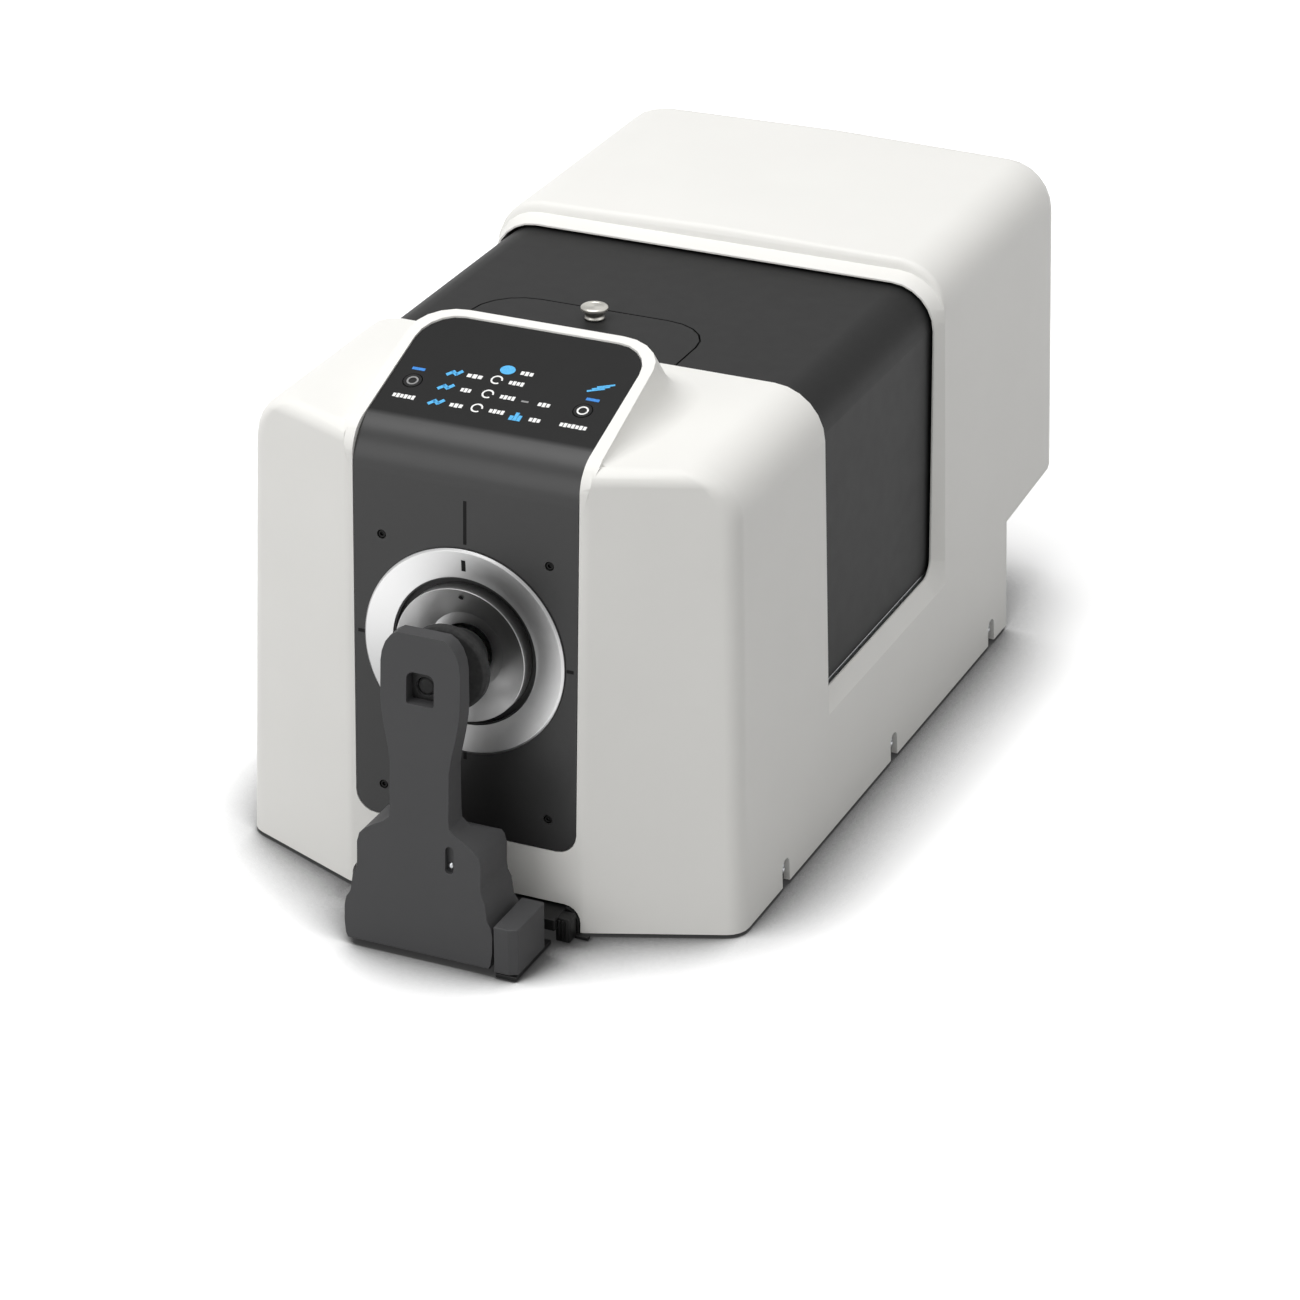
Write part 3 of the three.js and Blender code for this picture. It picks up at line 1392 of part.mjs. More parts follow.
function sideBlock() {
  const outline = [
    [BLOCK_NEAR, BLOCK_FRONT],
    [BLOCK_FAR - BLOCK_CHAMFER, BLOCK_FRONT],
    [BLOCK_FAR, BLOCK_FRONT + BLOCK_CHAMFER / 2],
    [BLOCK_FAR, BLOCK_REAR],
    [BLOCK_NEAR, BLOCK_REAR],
  ].map(([x, y]) => new THREE.Vector2(x, y));
  const body = prismZ(outline, STRIP_LOW + STRIP_THICK + SEAT_GAP, BLOCK_TOP);
  return body.subtract(rodX(PIN_R + SEAT_GAP, 0, BLOCK_FAR - BLOCK_CHAMFER, PIVOT_Y, PIVOT_Z));
}

place('damper_block', sideBlock(), BLACK_PART);

const pinLeft = -BELL_HALF + BELL_WALL / 2;
const pinRight = BLOCK_FAR - BLOCK_CHAMFER - SEAT_GAP;
place('holder_hinge_pin', rodX(PIN_R, pinLeft, pinRight, PIVOT_Y, PIVOT_Z), STEEL);

const coilEnd = EAR_NEAR - SPRING_WIRE_R - SEAT_GAP;
const torsionSpring = coil('torsion_spring', SPRING_WIRE_R, SPRING_COILS, (angle, share) => {
  const y = PIVOT_Y + SPRING_R * Math.cos(angle);
  return new THREE.Vector3(coilEnd * (2 * share - 1), y, PIVOT_Z + SPRING_R * Math.sin(angle));
});
place('torsion_spring', torsionSpring, STEEL);

// Base plate with upturned flanges

function basePlate() {
  const frontHalf = NOTCH_HALF;
  const taper = BASE_START + (BASE_HALF - frontHalf) * Math.tan(flankTilt) + FRONT_WALL;
  const outline = [
    [-frontHalf, BASE_START],
    [frontHalf, BASE_START],
    [BASE_HALF, taper],
    [BASE_HALF, BASE_END],
    [-BASE_HALF, BASE_END],
    [-BASE_HALF, taper],
  ].map(([x, y]) => new THREE.Vector2(x, y));
  let plate = prismZ(outline, BASE_LOW, baseTop);
  [-1, 1].forEach((side) => {
    const x0 = side > 0 ? BASE_HALF - BASE_THICK : -BASE_HALF;
    const x1 = x0 + BASE_THICK;
    plate = plate.add(block(x0, x1, taper, BASE_END, BASE_LOW, BASE_LOW + BASE_FLANGE));
  });
  sideScrewYs().forEach((y) => {
    plate = plate.subtract(rodX(SIDE_SCREW_R + SEAT_GAP, -BODY_WIDTH, BODY_WIDTH, y, SIDE_SCREW_Z, 12));
  });
  return plate;
}

place('base_plate', basePlate(), SHEET);

const footFront = BASE_START + FOOT_FRONT_INSET;
const footRear = BASE_END - FOOT_REAR_INSET;
[['front_left', -1, footFront], ['front_right', 1, footFront],
  ['rear_left', -1, footRear], ['rear_right', 1, footRear]].forEach(([where, side, y]) => {
  const mesh = place(`foot_${where}`, rodZ(FOOT_R, 0, BASE_LOW - SEAT_GAP, 0, 0), RUBBER);
  mesh.position.set(side * (BASE_HALF - FOOT_INSET), y, 0);
});

[['left', -1], ['right', 1]].forEach(([where, side]) => {
  sideScrewYs().forEach((y, i) => {
    const headIn = BASE_HALF + SEAT_GAP;
    const screw = union(
      rodX(SIDE_SCREW_HEAD_R, headIn, headIn + SIDE_SCREW_HEAD, 0, 0, 16),
      rodX(SIDE_SCREW_R, headIn + TINY - SIDE_SCREW_LENGTH, headIn + TINY, 0, 0, 12),
    );
    const mesh = place(`cover_screw_${where}_${i + 1}`, screw, STEEL);
    mesh.rotation.z = side > 0 ? 0 : Math.PI;
    mesh.position.set(0, y, SIDE_SCREW_Z);
  });
});

// Integrating sphere in two halves on a saddle

function sphereHalf(side) {
  const profile = [];
  const steps = 8;
  const outerStart = Math.asin(SPHERE_PORT_R / SPHERE_R);
  const innerR = SPHERE_R - SPHERE_WALL;
  const innerStart = Math.asin(SPHERE_PORT_R / innerR);
  for (let i = 0; i <= steps; i += 1) {
    const angle = outerStart + ((Math.PI / 2 - outerStart) * i) / steps;
    profile.push([SPHERE_R * Math.sin(angle), side * SPHERE_R * Math.cos(angle)]);
  }
  const split = side * (SEAT_GAP / 2);
  profile[steps] = [SPHERE_R, side * FLANGE_THICK];
  profile.push([FLANGE_R, side * FLANGE_THICK]);
  profile.push([FLANGE_R, split]);
  profile.push([innerR, split]);
  for (let i = steps - 1; i >= 0; i -= 1) {
    const angle = innerStart + ((Math.PI / 2 - innerStart) * i) / steps;
    profile.push([innerR * Math.sin(angle), side * innerR * Math.cos(angle)]);
  }
  return turned(profile, 32);
}

const sphereFront = place('sphere_front_half', sphereHalf(-1), SPHERE_COAT);
sphereFront.position.set(0, SPHERE_Y, PORT_Z);

const lampBore = rodZ(LAMP_PORT_R, 0, SPHERE_R + WALL, 0, LAMP_PORT_OFFSET, 16);
const rearHalf = cut(sphereHalf(1), lampBore);
const sphereRear = place('sphere_rear_half', rearHalf, SPHERE_COAT);
sphereRear.position.set(0, SPHERE_Y, PORT_Z);

function sphereCradle() {
  const start = SPHERE_Y - CRADLE_DEPTH_HALF;
  const end = SPHERE_Y + CRADLE_DEPTH_HALF;
  const body = block(-CRADLE_HALF, CRADLE_HALF, start, end, baseTop + SEAT_GAP, CRADLE_TOP);
  return body.subtract(rodY(FLANGE_R + SEAT_GAP, start - WALL, end + WALL, 0, PORT_Z, 48));
}

place('sphere_cradle', sphereCradle(), SHEET);

// Flash lamp in its housing above the rear half of the sphere

const lampLow = PORT_Z + SPHERE_R + SEAT_GAP;

function lampHousing() {
  const shell = block(-LAMP_HALF, LAMP_HALF, LAMP_START, DECK_START, lampLow, LAMP_TOP);
  const room = block(
    -LAMP_HALF + LAMP_WALL,
    LAMP_HALF - LAMP_WALL,
    LAMP_START + LAMP_WALL,
    DECK_START - LAMP_WALL,
    lampLow - OVERRUN,
    LAMP_TOP - LAMP_WALL,
  );
  return cut(shell, room);
}

place('lamp_housing', lampHousing(), SHEET);

const lampEnd = LAMP_HALF - LAMP_WALL - SEAT_GAP;
const lampZ = LAMP_TOP - LAMP_WALL - LAMP_ROOF_GAP;
place(
  'flash_lamp',
  rodX(LAMP_TUBE_R, -lampEnd, lampEnd, SPHERE_Y + LAMP_PORT_OFFSET, lampZ, 16),
  GLASS,
);

// Optical deck with its legs, the chamber walls and the lid rails

const deckTop = DECK_LOW + DECK_THICK;

// Connector plate inside the lower rear face, and the bay in front of its sockets
const plateEnd = BAND_DEPTH - WALL - SEAT_GAP;
const plateStart = plateEnd - PLATE_THICK;
const socketEnd = plateEnd + CONNECTOR_PROUD;
const socketStart = socketEnd - CONNECTOR_DEPTH;
const spectroEnd = SPECTRO_START + SPECTRO_LENGTH;
const legStarts = LEG_SHARES.map((share) => DECK_START + share * (socketStart - DECK_START));

function opticalDeck() {
  const rear = Math.max(spectroEnd, legStarts[legStarts.length - 1] + LEG_THICK);
  let deck = block(-DECK_HALF, DECK_HALF, DECK_START, rear, DECK_LOW, deckTop);
  legStarts.forEach((y) => {
    deck = deck.add(block(-LEG_HALF, LEG_HALF, y, y + LEG_THICK, baseTop + SEAT_GAP, DECK_LOW + TINY));
  });
  return deck;
}

place('optical_deck', opticalDeck(), SHEET);

function chamberWall(y) {
  const wall = block(-CHAMBER_HALF, CHAMBER_HALF, y, y + CHAMBER_WALL_T, deckTop + SEAT_GAP, CHAMBER_TOP);
  return wall.subtract(rodY(SPHERE_PORT_R, y - WALL, y + CHAMBER_WALL_T + WALL, 0, PORT_Z, 32));
}

place('chamber_front_wall', chamberWall(DECK_START + SEAT_GAP), BLACK_PART);
place('chamber_rear_wall', chamberWall(CHAMBER_REAR), BLACK_PART);

// Rail with an upright inside the lid's wall and a foot under the lid's edge.
function lidRail(side) {
  const outer = LID_HALF - LID_DRAFT_SHARE * LID_LOW;
  const guide = outer - LID_THICK - SEAT_GAP;
  const low = deckTop + SEAT_GAP;
  const points = [
    [guide - RAIL_WIDTH, low],
    [outer, low],
    [outer, LID_LOW - SEAT_GAP],
    [guide, LID_LOW - SEAT_GAP],
    [guide, low + RAIL_HEIGHT],
    [guide - RAIL_WIDTH, low + RAIL_HEIGHT],
  ].map(([x, z]) => new THREE.Vector2(side * x, z));
  return prismY(side > 0 ? points : points.reverse(), RAIL_START, RAIL_END);
}

place('lid_rail_left', lidRail(-1), STEEL);
place('lid_rail_right', lidRail(1), STEEL);

// Receiving lens in its barrel behind the chamber, on a saddle

const barrelStart = CHAMBER_REAR + CHAMBER_WALL_T + SEAT_GAP;

place(
  'lens_barrel',
  rodY(BARREL_R, barrelStart, barrelStart + BARREL_LENGTH, 0, PORT_Z, 40).subtract(
    rodY(BARREL_R - BARREL_WALL, barrelStart - WALL, barrelStart + BARREL_LENGTH + WALL, 0, PORT_Z, 40),
  ),
  BLACK_PART,
);

function lens() {
  const rim = LENS_THICK - LENS_BULGE;
  const profile = [
    [0, -LENS_BULGE / 2],
    [LENS_R / 2, -LENS_BULGE / 3],
    [LENS_R, LENS_BULGE / 3],
    [LENS_R, rim],
    [LENS_R / 2, rim + LENS_BULGE],
    [0, LENS_THICK + LENS_BULGE / 2],
  ];
  return turned(profile, 32);
}

const lensMesh = place('receiving_lens', lens(), GLASS);
lensMesh.position.set(0, barrelStart + LENS_SET, PORT_Z);

function lensMount() {
  const y0 = barrelStart + MOUNT_INSET;
  const y1 = y0 + MOUNT_DEPTH;
  const body = block(-MOUNT_HALF, MOUNT_HALF, y0, y1, deckTop + SEAT_GAP, PORT_Z);
  return body.subtract(rodY(BARREL_R + SEAT_GAP, y0 - WALL, y1 + WALL, 0, PORT_Z, 40));
}

place('lens_mount', lensMount(), SHEET);

// Spectrometer housing with its standoffs, main board and flash capacitor behind it

const boardStart = spectroEnd + BOARD_STANDOFF + SEAT_GAP;

function spectrometer() {
  const outline = rounded([
    [-SPECTRO_HALF, deckTop + SEAT_GAP, 0],
    [SPECTRO_HALF, deckTop + SEAT_GAP, 0],
    [SPECTRO_HALF, SPECTRO_TOP, SPECTRO_EDGE_R],
    [-SPECTRO_HALF, SPECTRO_TOP, SPECTRO_EDGE_R],
  ], 3);
  const room = block(
    -SPECTRO_HALF + WALL,
    SPECTRO_HALF - WALL,
    SPECTRO_START + WALL,
    spectroEnd - WALL,
    deckTop + SEAT_GAP + WALL,
    SPECTRO_TOP - WALL,
  );
  const entrance = rodY(ENTRANCE_R, SPECTRO_START - WALL, SPECTRO_START + 2 * WALL, 0, PORT_Z);
  let box = cut(prismY(outline, SPECTRO_START, spectroEnd), room, entrance);
  [-1, 1].forEach((side) => {
    [BOARD_LOW, BOARD_TOP].forEach((z) => {
      const inset = z === BOARD_LOW ? 2 * POST_R : -2 * POST_R;
      const x = side * (BOARD_HALF - 2 * POST_R);
      box = box.add(rodY(POST_R, spectroEnd - TINY, spectroEnd + BOARD_STANDOFF, x, z + inset, 12));
    });
  });
  return box;
}

place('spectrometer', spectrometer(), BLACK_PART);

const boardEnd = boardStart + BOARD_THICK;
place(
  'main_board',
  block(-BOARD_HALF, BOARD_HALF, boardStart, boardEnd, BOARD_LOW, BOARD_TOP),
  BOARD_GREEN,
);

const capStart = boardEnd + SEAT_GAP;
place(
  'flash_capacitor',
  rodY(CAPACITOR_R, capStart, capStart + CAPACITOR_LENGTH, CAPACITOR_X, CAPACITOR_Z),
  BLACK_PART,
);

// Power board with its posts, and the transformer on it

const powerLow = baseTop + POWER_LIFT;
const powerTop = powerLow + BOARD_THICK;
const powerEnd = legStarts[1] - LEG_THICK;
const powerStart = powerEnd - POWER_LENGTH_SHARE * (legStarts[1] - legStarts[0]);

function powerBoard() {
  let board = block(-POWER_HALF, POWER_HALF, powerStart, powerEnd, powerLow, powerTop);
  [-1, 1].forEach((side) => {
    [powerStart + 2 * POST_R, powerEnd - 2 * POST_R].forEach((y) => {
      board = board.add(rodZ(POST_R, baseTop + SEAT_GAP, powerTop, side * (POWER_HALF - 2 * POST_R), y, 12));
    });
  });
  return board;
}

place('power_board', powerBoard(), BOARD_GREEN);

const coreStart = powerStart + CORE_INSET;
const coreLow = powerTop + SEAT_GAP;
place(
  'transformer',
  block(-CORE_HALF, CORE_HALF, coreStart, coreStart + CORE_LENGTH, coreLow, coreLow + CORE_HEIGHT),
  SHEET,
);

// Connector plate with the inlet, the data socket and the power switch

const connectors = [
  [INLET_X, INLET_HALF, INLET_HALF_Z],
  [SOCKET_X, SOCKET_HALF, SOCKET_HALF],
  [SWITCH_X, SWITCH_HALF_X + SWITCH_FRAME, SWITCH_HALF_Z + SWITCH_FRAME],
];

function connectorBlock([x, halfX, halfZ], grow, y0, y1) {
  return block(x - halfX - grow, x + halfX + grow, y0, y1, CONNECTOR_Z - halfZ - grow, CONNECTOR_Z + halfZ + grow);
}

function connectorPlate() {
  const plate = block(-PLATE_HALF, PLATE_HALF, plateStart, plateEnd, PLATE_LOW, PLATE_TOP);
  return cut(plate, ...connectors.map((one) => connectorBlock(one, SEAT_GAP, plateStart - WALL, plateEnd + WALL)));
}

place('connector_plate', connectorPlate(), BLACK_PART);

place(
  'power_inlet',
  union(
    cut(
      connectorBlock(connectors[0], 0, socketStart, socketEnd),
      rodY(INLET_BORE_R, socketEnd - SOCKET_HOLLOW, socketEnd + WALL, INLET_X, CONNECTOR_Z),
    ),
    rodY(INLET_PIN_R, socketEnd - SOCKET_HOLLOW - TINY, socketEnd - CONNECTOR_PROUD, INLET_X, CONNECTOR_Z, 12),
  ),
  BLACK_PART,
);

place(
  'data_socket',
  cut(
    connectorBlock(connectors[1], 0, socketStart, socketEnd),
    connectorBlock([SOCKET_X, SOCKET_MOUTH_HALF, SOCKET_MOUTH_HALF], 0, socketEnd - SOCKET_HOLLOW, socketEnd + WALL),
  ),
  STEEL,
);

const rockerRoom = [SWITCH_X, SWITCH_HALF_X, SWITCH_HALF_Z];
place(
  'switch_frame',
  cut(
    connectorBlock(connectors[2], 0, socketStart, socketEnd),
    connectorBlock(rockerRoom, 0, socketEnd - ROCKER_DEPTH - ROCKER_PROUD, socketEnd + WALL),
  ),
  BLACK_PART,
);

// Rocker: two tilted faces that meet at its middle, turning about X just under the frame's face

function rocker() {
  const half = SWITCH_HALF_Z - RUN_GAP - ROCKER_PROUD / 2;
  const tilt = Math.tan(THREE.MathUtils.degToRad(ROCKER_TILT_DEG));
  const top = socketEnd + ROCKER_PROUD - half * tilt;
  const low = socketEnd - ROCKER_DEPTH / 2;
  const profile = [
    [low, CONNECTOR_Z - half * ROCKER_WAIST_SHARE],
    [top + half * tilt, CONNECTOR_Z - half],
    [top - half * tilt * ROCKER_DIP_SHARE, CONNECTOR_Z],
    [top - half * tilt, CONNECTOR_Z + half],
    [low, CONNECTOR_Z + half * ROCKER_WAIST_SHARE],
  ].map(([y, z]) => new THREE.Vector2(y, z));
  return prismX(profile, SWITCH_X - SWITCH_HALF_X + RUN_GAP, SWITCH_X + SWITCH_HALF_X - RUN_GAP);
}

place('switch_rocker', rocker(), BLACK_PART);

export default instrument;
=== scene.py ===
"""Dressed model of a benchtop colorimeter with a measuring port, sample holder and sliding lid."""
import logging
import math
from dataclasses import dataclass, field
from enum import Enum

import bmesh
import bpy
from mathutils import Matrix, Vector


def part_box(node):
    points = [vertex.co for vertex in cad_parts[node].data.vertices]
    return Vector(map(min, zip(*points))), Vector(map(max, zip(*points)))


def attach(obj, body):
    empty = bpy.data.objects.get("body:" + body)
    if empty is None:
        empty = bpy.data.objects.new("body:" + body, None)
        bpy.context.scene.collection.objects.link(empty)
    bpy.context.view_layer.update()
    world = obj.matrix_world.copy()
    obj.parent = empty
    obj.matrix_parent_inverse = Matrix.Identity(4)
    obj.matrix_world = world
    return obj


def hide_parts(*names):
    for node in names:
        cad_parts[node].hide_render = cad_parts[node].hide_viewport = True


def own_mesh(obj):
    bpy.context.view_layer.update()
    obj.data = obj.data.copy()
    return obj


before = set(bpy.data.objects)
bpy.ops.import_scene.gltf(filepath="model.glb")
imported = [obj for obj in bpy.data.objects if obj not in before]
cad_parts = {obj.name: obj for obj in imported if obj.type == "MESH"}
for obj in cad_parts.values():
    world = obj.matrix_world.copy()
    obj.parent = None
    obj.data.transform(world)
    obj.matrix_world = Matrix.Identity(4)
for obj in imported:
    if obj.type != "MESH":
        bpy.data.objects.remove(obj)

LOG = logging.getLogger("colorimeter")
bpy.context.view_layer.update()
MM = 0.001
# Foot of the front panel in metres, and how far its face leans back for each unit of height.
FACE_Y = -0.19975
RISE = 0.037
LEAN = math.atan(RISE)
# Slope of the control panel, and heights of the port's axis and of the panel's fold in mm.
SLOPE = math.radians(19.2)
PORT_Z = 128.3
FOLD_Z = 221.8
# Place of the door's knob in mm.
KNOB_MM = (-18.0, 181.0, 217.0)
# Corners of a solid closer than this, in metres, are one, and faces this close to flat are whole.
JOIN = 2e-6
FLAT_DEG = 0.6
UPRIGHT = Matrix.Rotation(math.pi / 2, 4, "X")


def at(x: float, y: float, z: float) -> Vector:
    """Point in metres from millimetres measured off the foot of the front panel."""
    return Vector((x * MM, FACE_Y + y * MM, z * MM))


def face_frame(z: float) -> Matrix:
    """Frame on the leaning front face at a height, its -Y pointing out of the face."""
    return Matrix.Translation(at(0, RISE * z, z)) @ Matrix.Rotation(-LEAN, 4, "X")


PORT = face_frame(PORT_Z)
PORT_CENTRE = at(0, RISE * PORT_Z, PORT_Z)
PORT_AXIS = Matrix.Translation(at(0, 0, PORT_Z))
DECK = Matrix.Translation(at(0, RISE * FOLD_Z, FOLD_Z)) @ Matrix.Rotation(SLOPE, 4, "X")


def srgb(*channels: int) -> tuple[float, float, float, float]:
    """Linear colour of a screen colour.

    Args:
        channels: red, green and blue between 0 and 255.

    Returns:
        The colour with full opacity.
    """
    shares = [value / 255 for value in channels]
    linear = [c / 12.92 if c <= 0.04045 else ((c + 0.055) / 1.055) ** 2.4 for c in shares]
    return (linear[0], linear[1], linear[2], 1.0)


def seen_rays(tree: bpy.types.NodeTree) -> bpy.types.NodeSocket:
    """Value that is 1 for rays of the camera, of gloss and through glass.

    Args:
        tree: node tree that gets the nodes.

    Returns:
        The value.
    """
    path = tree.nodes.new("ShaderNodeLightPath")
    seen = path.outputs["Is Camera Ray"]
    for other in ("Is Glossy Ray", "Is Transmission Ray"):
        either = tree.nodes.new("ShaderNodeMath")
        either.operation = "MAXIMUM"
        tree.links.new(seen, either.inputs[0])
        tree.links.new(path.outputs[other], either.inputs[1])
        seen = either.outputs[0]
    return seen


class Ink(Enum):
    """Printing inks of the control panel and the front face."""

    WHITE = (246, 246, 244)
    BLUE = (72, 142, 222)
    CYAN = (96, 186, 240)
    BLACK = (18, 18, 18)
    GREY = (150, 150, 150)


class Shader:
    """Node tree of one finish, round its principled shader."""

    def __init__(self, name: str) -> None:
        """Starts an empty finish.

        Args:
            name: the material's name.
        """
        self.material = bpy.data.materials.new(name)
        self.material.use_nodes = True
        self.tree = self.material.node_tree
        self.surface = self.tree.nodes["Principled BSDF"]
        self.place = self.tree.nodes.new("ShaderNodeTexCoord").outputs["Object"]

    def node(self, kind: str, **settings: object) -> bpy.types.Node:
        """Adds a node.

        Args:
            kind: the node's type without its prefix.
            settings: properties of the node by name.

        Returns:
            The new node.
        """
        made = self.tree.nodes.new("ShaderNode" + kind)
        for key, value in settings.items():
            setattr(made, key, value)
        return made

    def link(self, source: bpy.types.NodeSocket, target: bpy.types.NodeSocket) -> None:
        """Joins an output to an input."""
        self.tree.links.new(source, target)

    def plain(self, name: str, value: object) -> None:
        """Sets one of the shader's own sockets."""
        self.surface.inputs[name].default_value = value

    def maths(self, operation: str, *values: bpy.types.NodeSocket | float) -> bpy.types.NodeSocket:
        """Result of a math node.

        Args:
            operation: what the node works out.
            values: its inputs in order, each an output to link or a number.

        Returns:
            The result.
        """
        made = self.node("Math", operation=operation)
        for value, target in zip(values, made.inputs):
            if isinstance(value, bpy.types.NodeSocket):
                self.link(value, target)
            else:
                target.default_value = value
        return made.outputs[0]

    def split(self, vector: bpy.types.NodeSocket) -> bpy.types.NodeOutputs:
        """Outputs X, Y and Z of a vector."""
        made = self.node("SeparateXYZ")
        self.link(vector, made.inputs["Vector"])
        return made.outputs

    def length(self, vector: bpy.types.NodeSocket) -> bpy.types.NodeSocket:
        """Length of a vector."""
        made = self.node("VectorMath", operation="LENGTH")
        self.link(vector, made.inputs[0])
        return made.outputs["Value"]

    def mapped(self, scale: tuple[float, float, float] = (1, 1, 1), centre: Vector = Vector(),
               turn: float = 0.0) -> bpy.types.NodeSocket:
        """Object coordinates, centred, turned about X and scaled.

        Args:
            scale: factor along each axis.
            centre: point that becomes the origin, in metres.
            turn: angle about X in radians that lays the pattern's axes along the surface.

        Returns:
            The mapped vector.
        """
        vector = self.place
        for name, value in (("Location", -centre), ("Rotation", (turn, 0, 0)), ("Scale", scale)):
            step = self.node("Mapping")
            step.inputs[name].default_value = value
            self.link(vector, step.inputs["Vector"])
            vector = step.outputs["Vector"]
        return vector

    def noise(self, size_mm: float, detail: float = 2.0,
              vector: bpy.types.NodeSocket | None = None) -> bpy.types.NodeSocket:
        """Noise whose grains are about the given size.

        Args:
            size_mm: size of a grain in millimetres.
            detail: finer octaves on top.
            vector: coordinates in metres, or None for the object's own.

        Returns:
            The noise value.
        """
        made = self.node("TexNoise")
        made.inputs["Scale"].default_value = 1 / (size_mm * MM)
        made.inputs["Detail"].default_value = detail
        self.link(vector or self.place, made.inputs["Vector"])
        return made.outputs["Fac"]

    def spread(self, value: bpy.types.NodeSocket, low: float, high: float,
               start: float = 0.3, end: float = 0.7) -> bpy.types.NodeSocket:
        """Maps a value from one span to another.

        Args:
            value: the value to map.
            low: result at the span's start.
            high: result at the span's end.
            start: start of the span that is read.
            end: end of the span that is read.

        Returns:
            The mapped value.
        """
        made = self.node("MapRange")
        for name, number in (("From Min", start), ("From Max", end),
                             ("To Min", low), ("To Max", high)):
            made.inputs[name].default_value = number
        self.link(value, made.inputs["Value"])
        return made.outputs["Result"]

    def tint(self, value: bpy.types.NodeSocket, dark: tuple,
             light: tuple) -> bpy.types.NodeSocket:
        """Colour between two.

        Args:
            value: share of the light colour, between 0 and 1.
            dark: linear colour at 0.
            light: linear colour at 1.

        Returns:
            The mixed colour.
        """
        made = self.node("Mix", data_type="RGBA")
        made.inputs["A"].default_value = dark
        made.inputs["B"].default_value = light
        self.link(value, made.inputs["Factor"])
        return made.outputs["Result"]

    def relief(self, height: bpy.types.NodeSocket, depth_mm: float, strength: float,
               under: bpy.types.NodeSocket | None = None) -> bpy.types.NodeSocket:
        """Bump from a height value.

        Args:
            height: value between 0 and 1.
            depth_mm: depth of the relief in millimetres.
            strength: share of it that shows.
            under: normal of a coarser relief below it.

        Returns:
            The bumped normal.
        """
        made = self.node("Bump")
        made.inputs["Distance"].default_value = depth_mm * MM
        made.inputs["Strength"].default_value = strength
        self.link(height, made.inputs["Height"])
        if under is not None:
            self.link(under, made.inputs["Normal"])
        return made.outputs["Normal"]

    def colour(self, value: bpy.types.NodeSocket) -> None:
        """Feeds the base colour."""
        self.link(value, self.surface.inputs["Base Color"])

    def rough(self, value: bpy.types.NodeSocket) -> None:
        """Feeds the roughness."""
        self.link(value, self.surface.inputs["Roughness"])

    def normal(self, value: bpy.types.NodeSocket) -> None:
        """Feeds the normal."""
        self.link(value, self.surface.inputs["Normal"])


def shade(rgb: tuple, factor: float) -> tuple[float, float, float, float]:
    """Screen colour scaled by a factor, as a linear colour."""
    return srgb(*(min(255, int(round(c * factor))) for c in rgb))


@dataclass(frozen=True)
class MouldedPlastic:
    """Injection-moulded plastic: faint mottle, spark-eroded grain and uneven sheen."""

    name: str
    rgb: tuple[int, int, int]
    roughness: float = 0.5
    grain_mm: float = 0.45
    grain_strength: float = 0.12
    mottle: float = 0.02
    gloss: float = 0.4
    cloud_mm: float = 55.0
    flow_mm: float = 38.0
    patch_mm: float = 9.0
    swing: float = 0.012

    def pigment(self, shader: Shader) -> bpy.types.NodeSocket:
        """Colour of the plastic, faintly clouded.

        Args:
            shader: shader that gets the nodes.

        Returns:
            The colour.
        """
        cloud = shader.spread(shader.noise(self.cloud_mm, 3), 0, 1)
        return shader.tint(cloud, shade(self.rgb, 1 - self.mottle),
                           shade(self.rgb, 1 + self.mottle))

    def make(self) -> bpy.types.Material:
        """Builds the material.

        Returns:
            The material.
        """
        shader = Shader(self.name)
        shader.colour(self.pigment(shader))
        fine = shader.noise(self.grain_mm, 2)
        shader.rough(shader.spread(shader.noise(self.patch_mm, 2), self.roughness - self.swing,
                                   self.roughness + self.swing))
        self.sheen(shader)
        flow = shader.relief(shader.noise(self.flow_mm, 0), 0.02, 0.02)
        shader.normal(shader.relief(fine, 0.04, self.grain_strength, flow))
        return shader.material

    def sheen(self, shader: Shader) -> None:
        """Sets the gloss."""
        shader.plain("Specular IOR Level", self.gloss)


@dataclass(frozen=True)
class FilmedPlastic(MouldedPlastic):
    """Front plate whose sloped top is laid with a darker printed film."""

    film_rgb: tuple[int, int, int] = (28, 28, 28)
    film_gloss: float = 0.12
    film_start: float = 0.2262
    film_end: float = 0.2274

    def height(self, shader: Shader, low: float, high: float) -> bpy.types.NodeSocket:
        """Value that runs from one at the film's start to another where it is whole."""
        return shader.spread(shader.split(shader.place)["Z"], low, high, self.film_start,
                             self.film_end)

    def pigment(self, shader: Shader) -> bpy.types.NodeSocket:
        """Colour of the plate below the fold and of the film above it.

        Args:
            shader: shader that gets the nodes.

        Returns:
            The colour.
        """
        both = shader.node("Mix", data_type="RGBA")
        shader.link(super().pigment(shader), both.inputs["A"])
        both.inputs["B"].default_value = srgb(*self.film_rgb)
        shader.link(self.height(shader, 0, 1), both.inputs["Factor"])
        return both.outputs["Result"]

    def sheen(self, shader: Shader) -> None:
        """Feeds the gloss, which is less on the film."""
        shader.link(self.height(shader, self.gloss, self.film_gloss),
                    shader.surface.inputs["Specular IOR Level"])


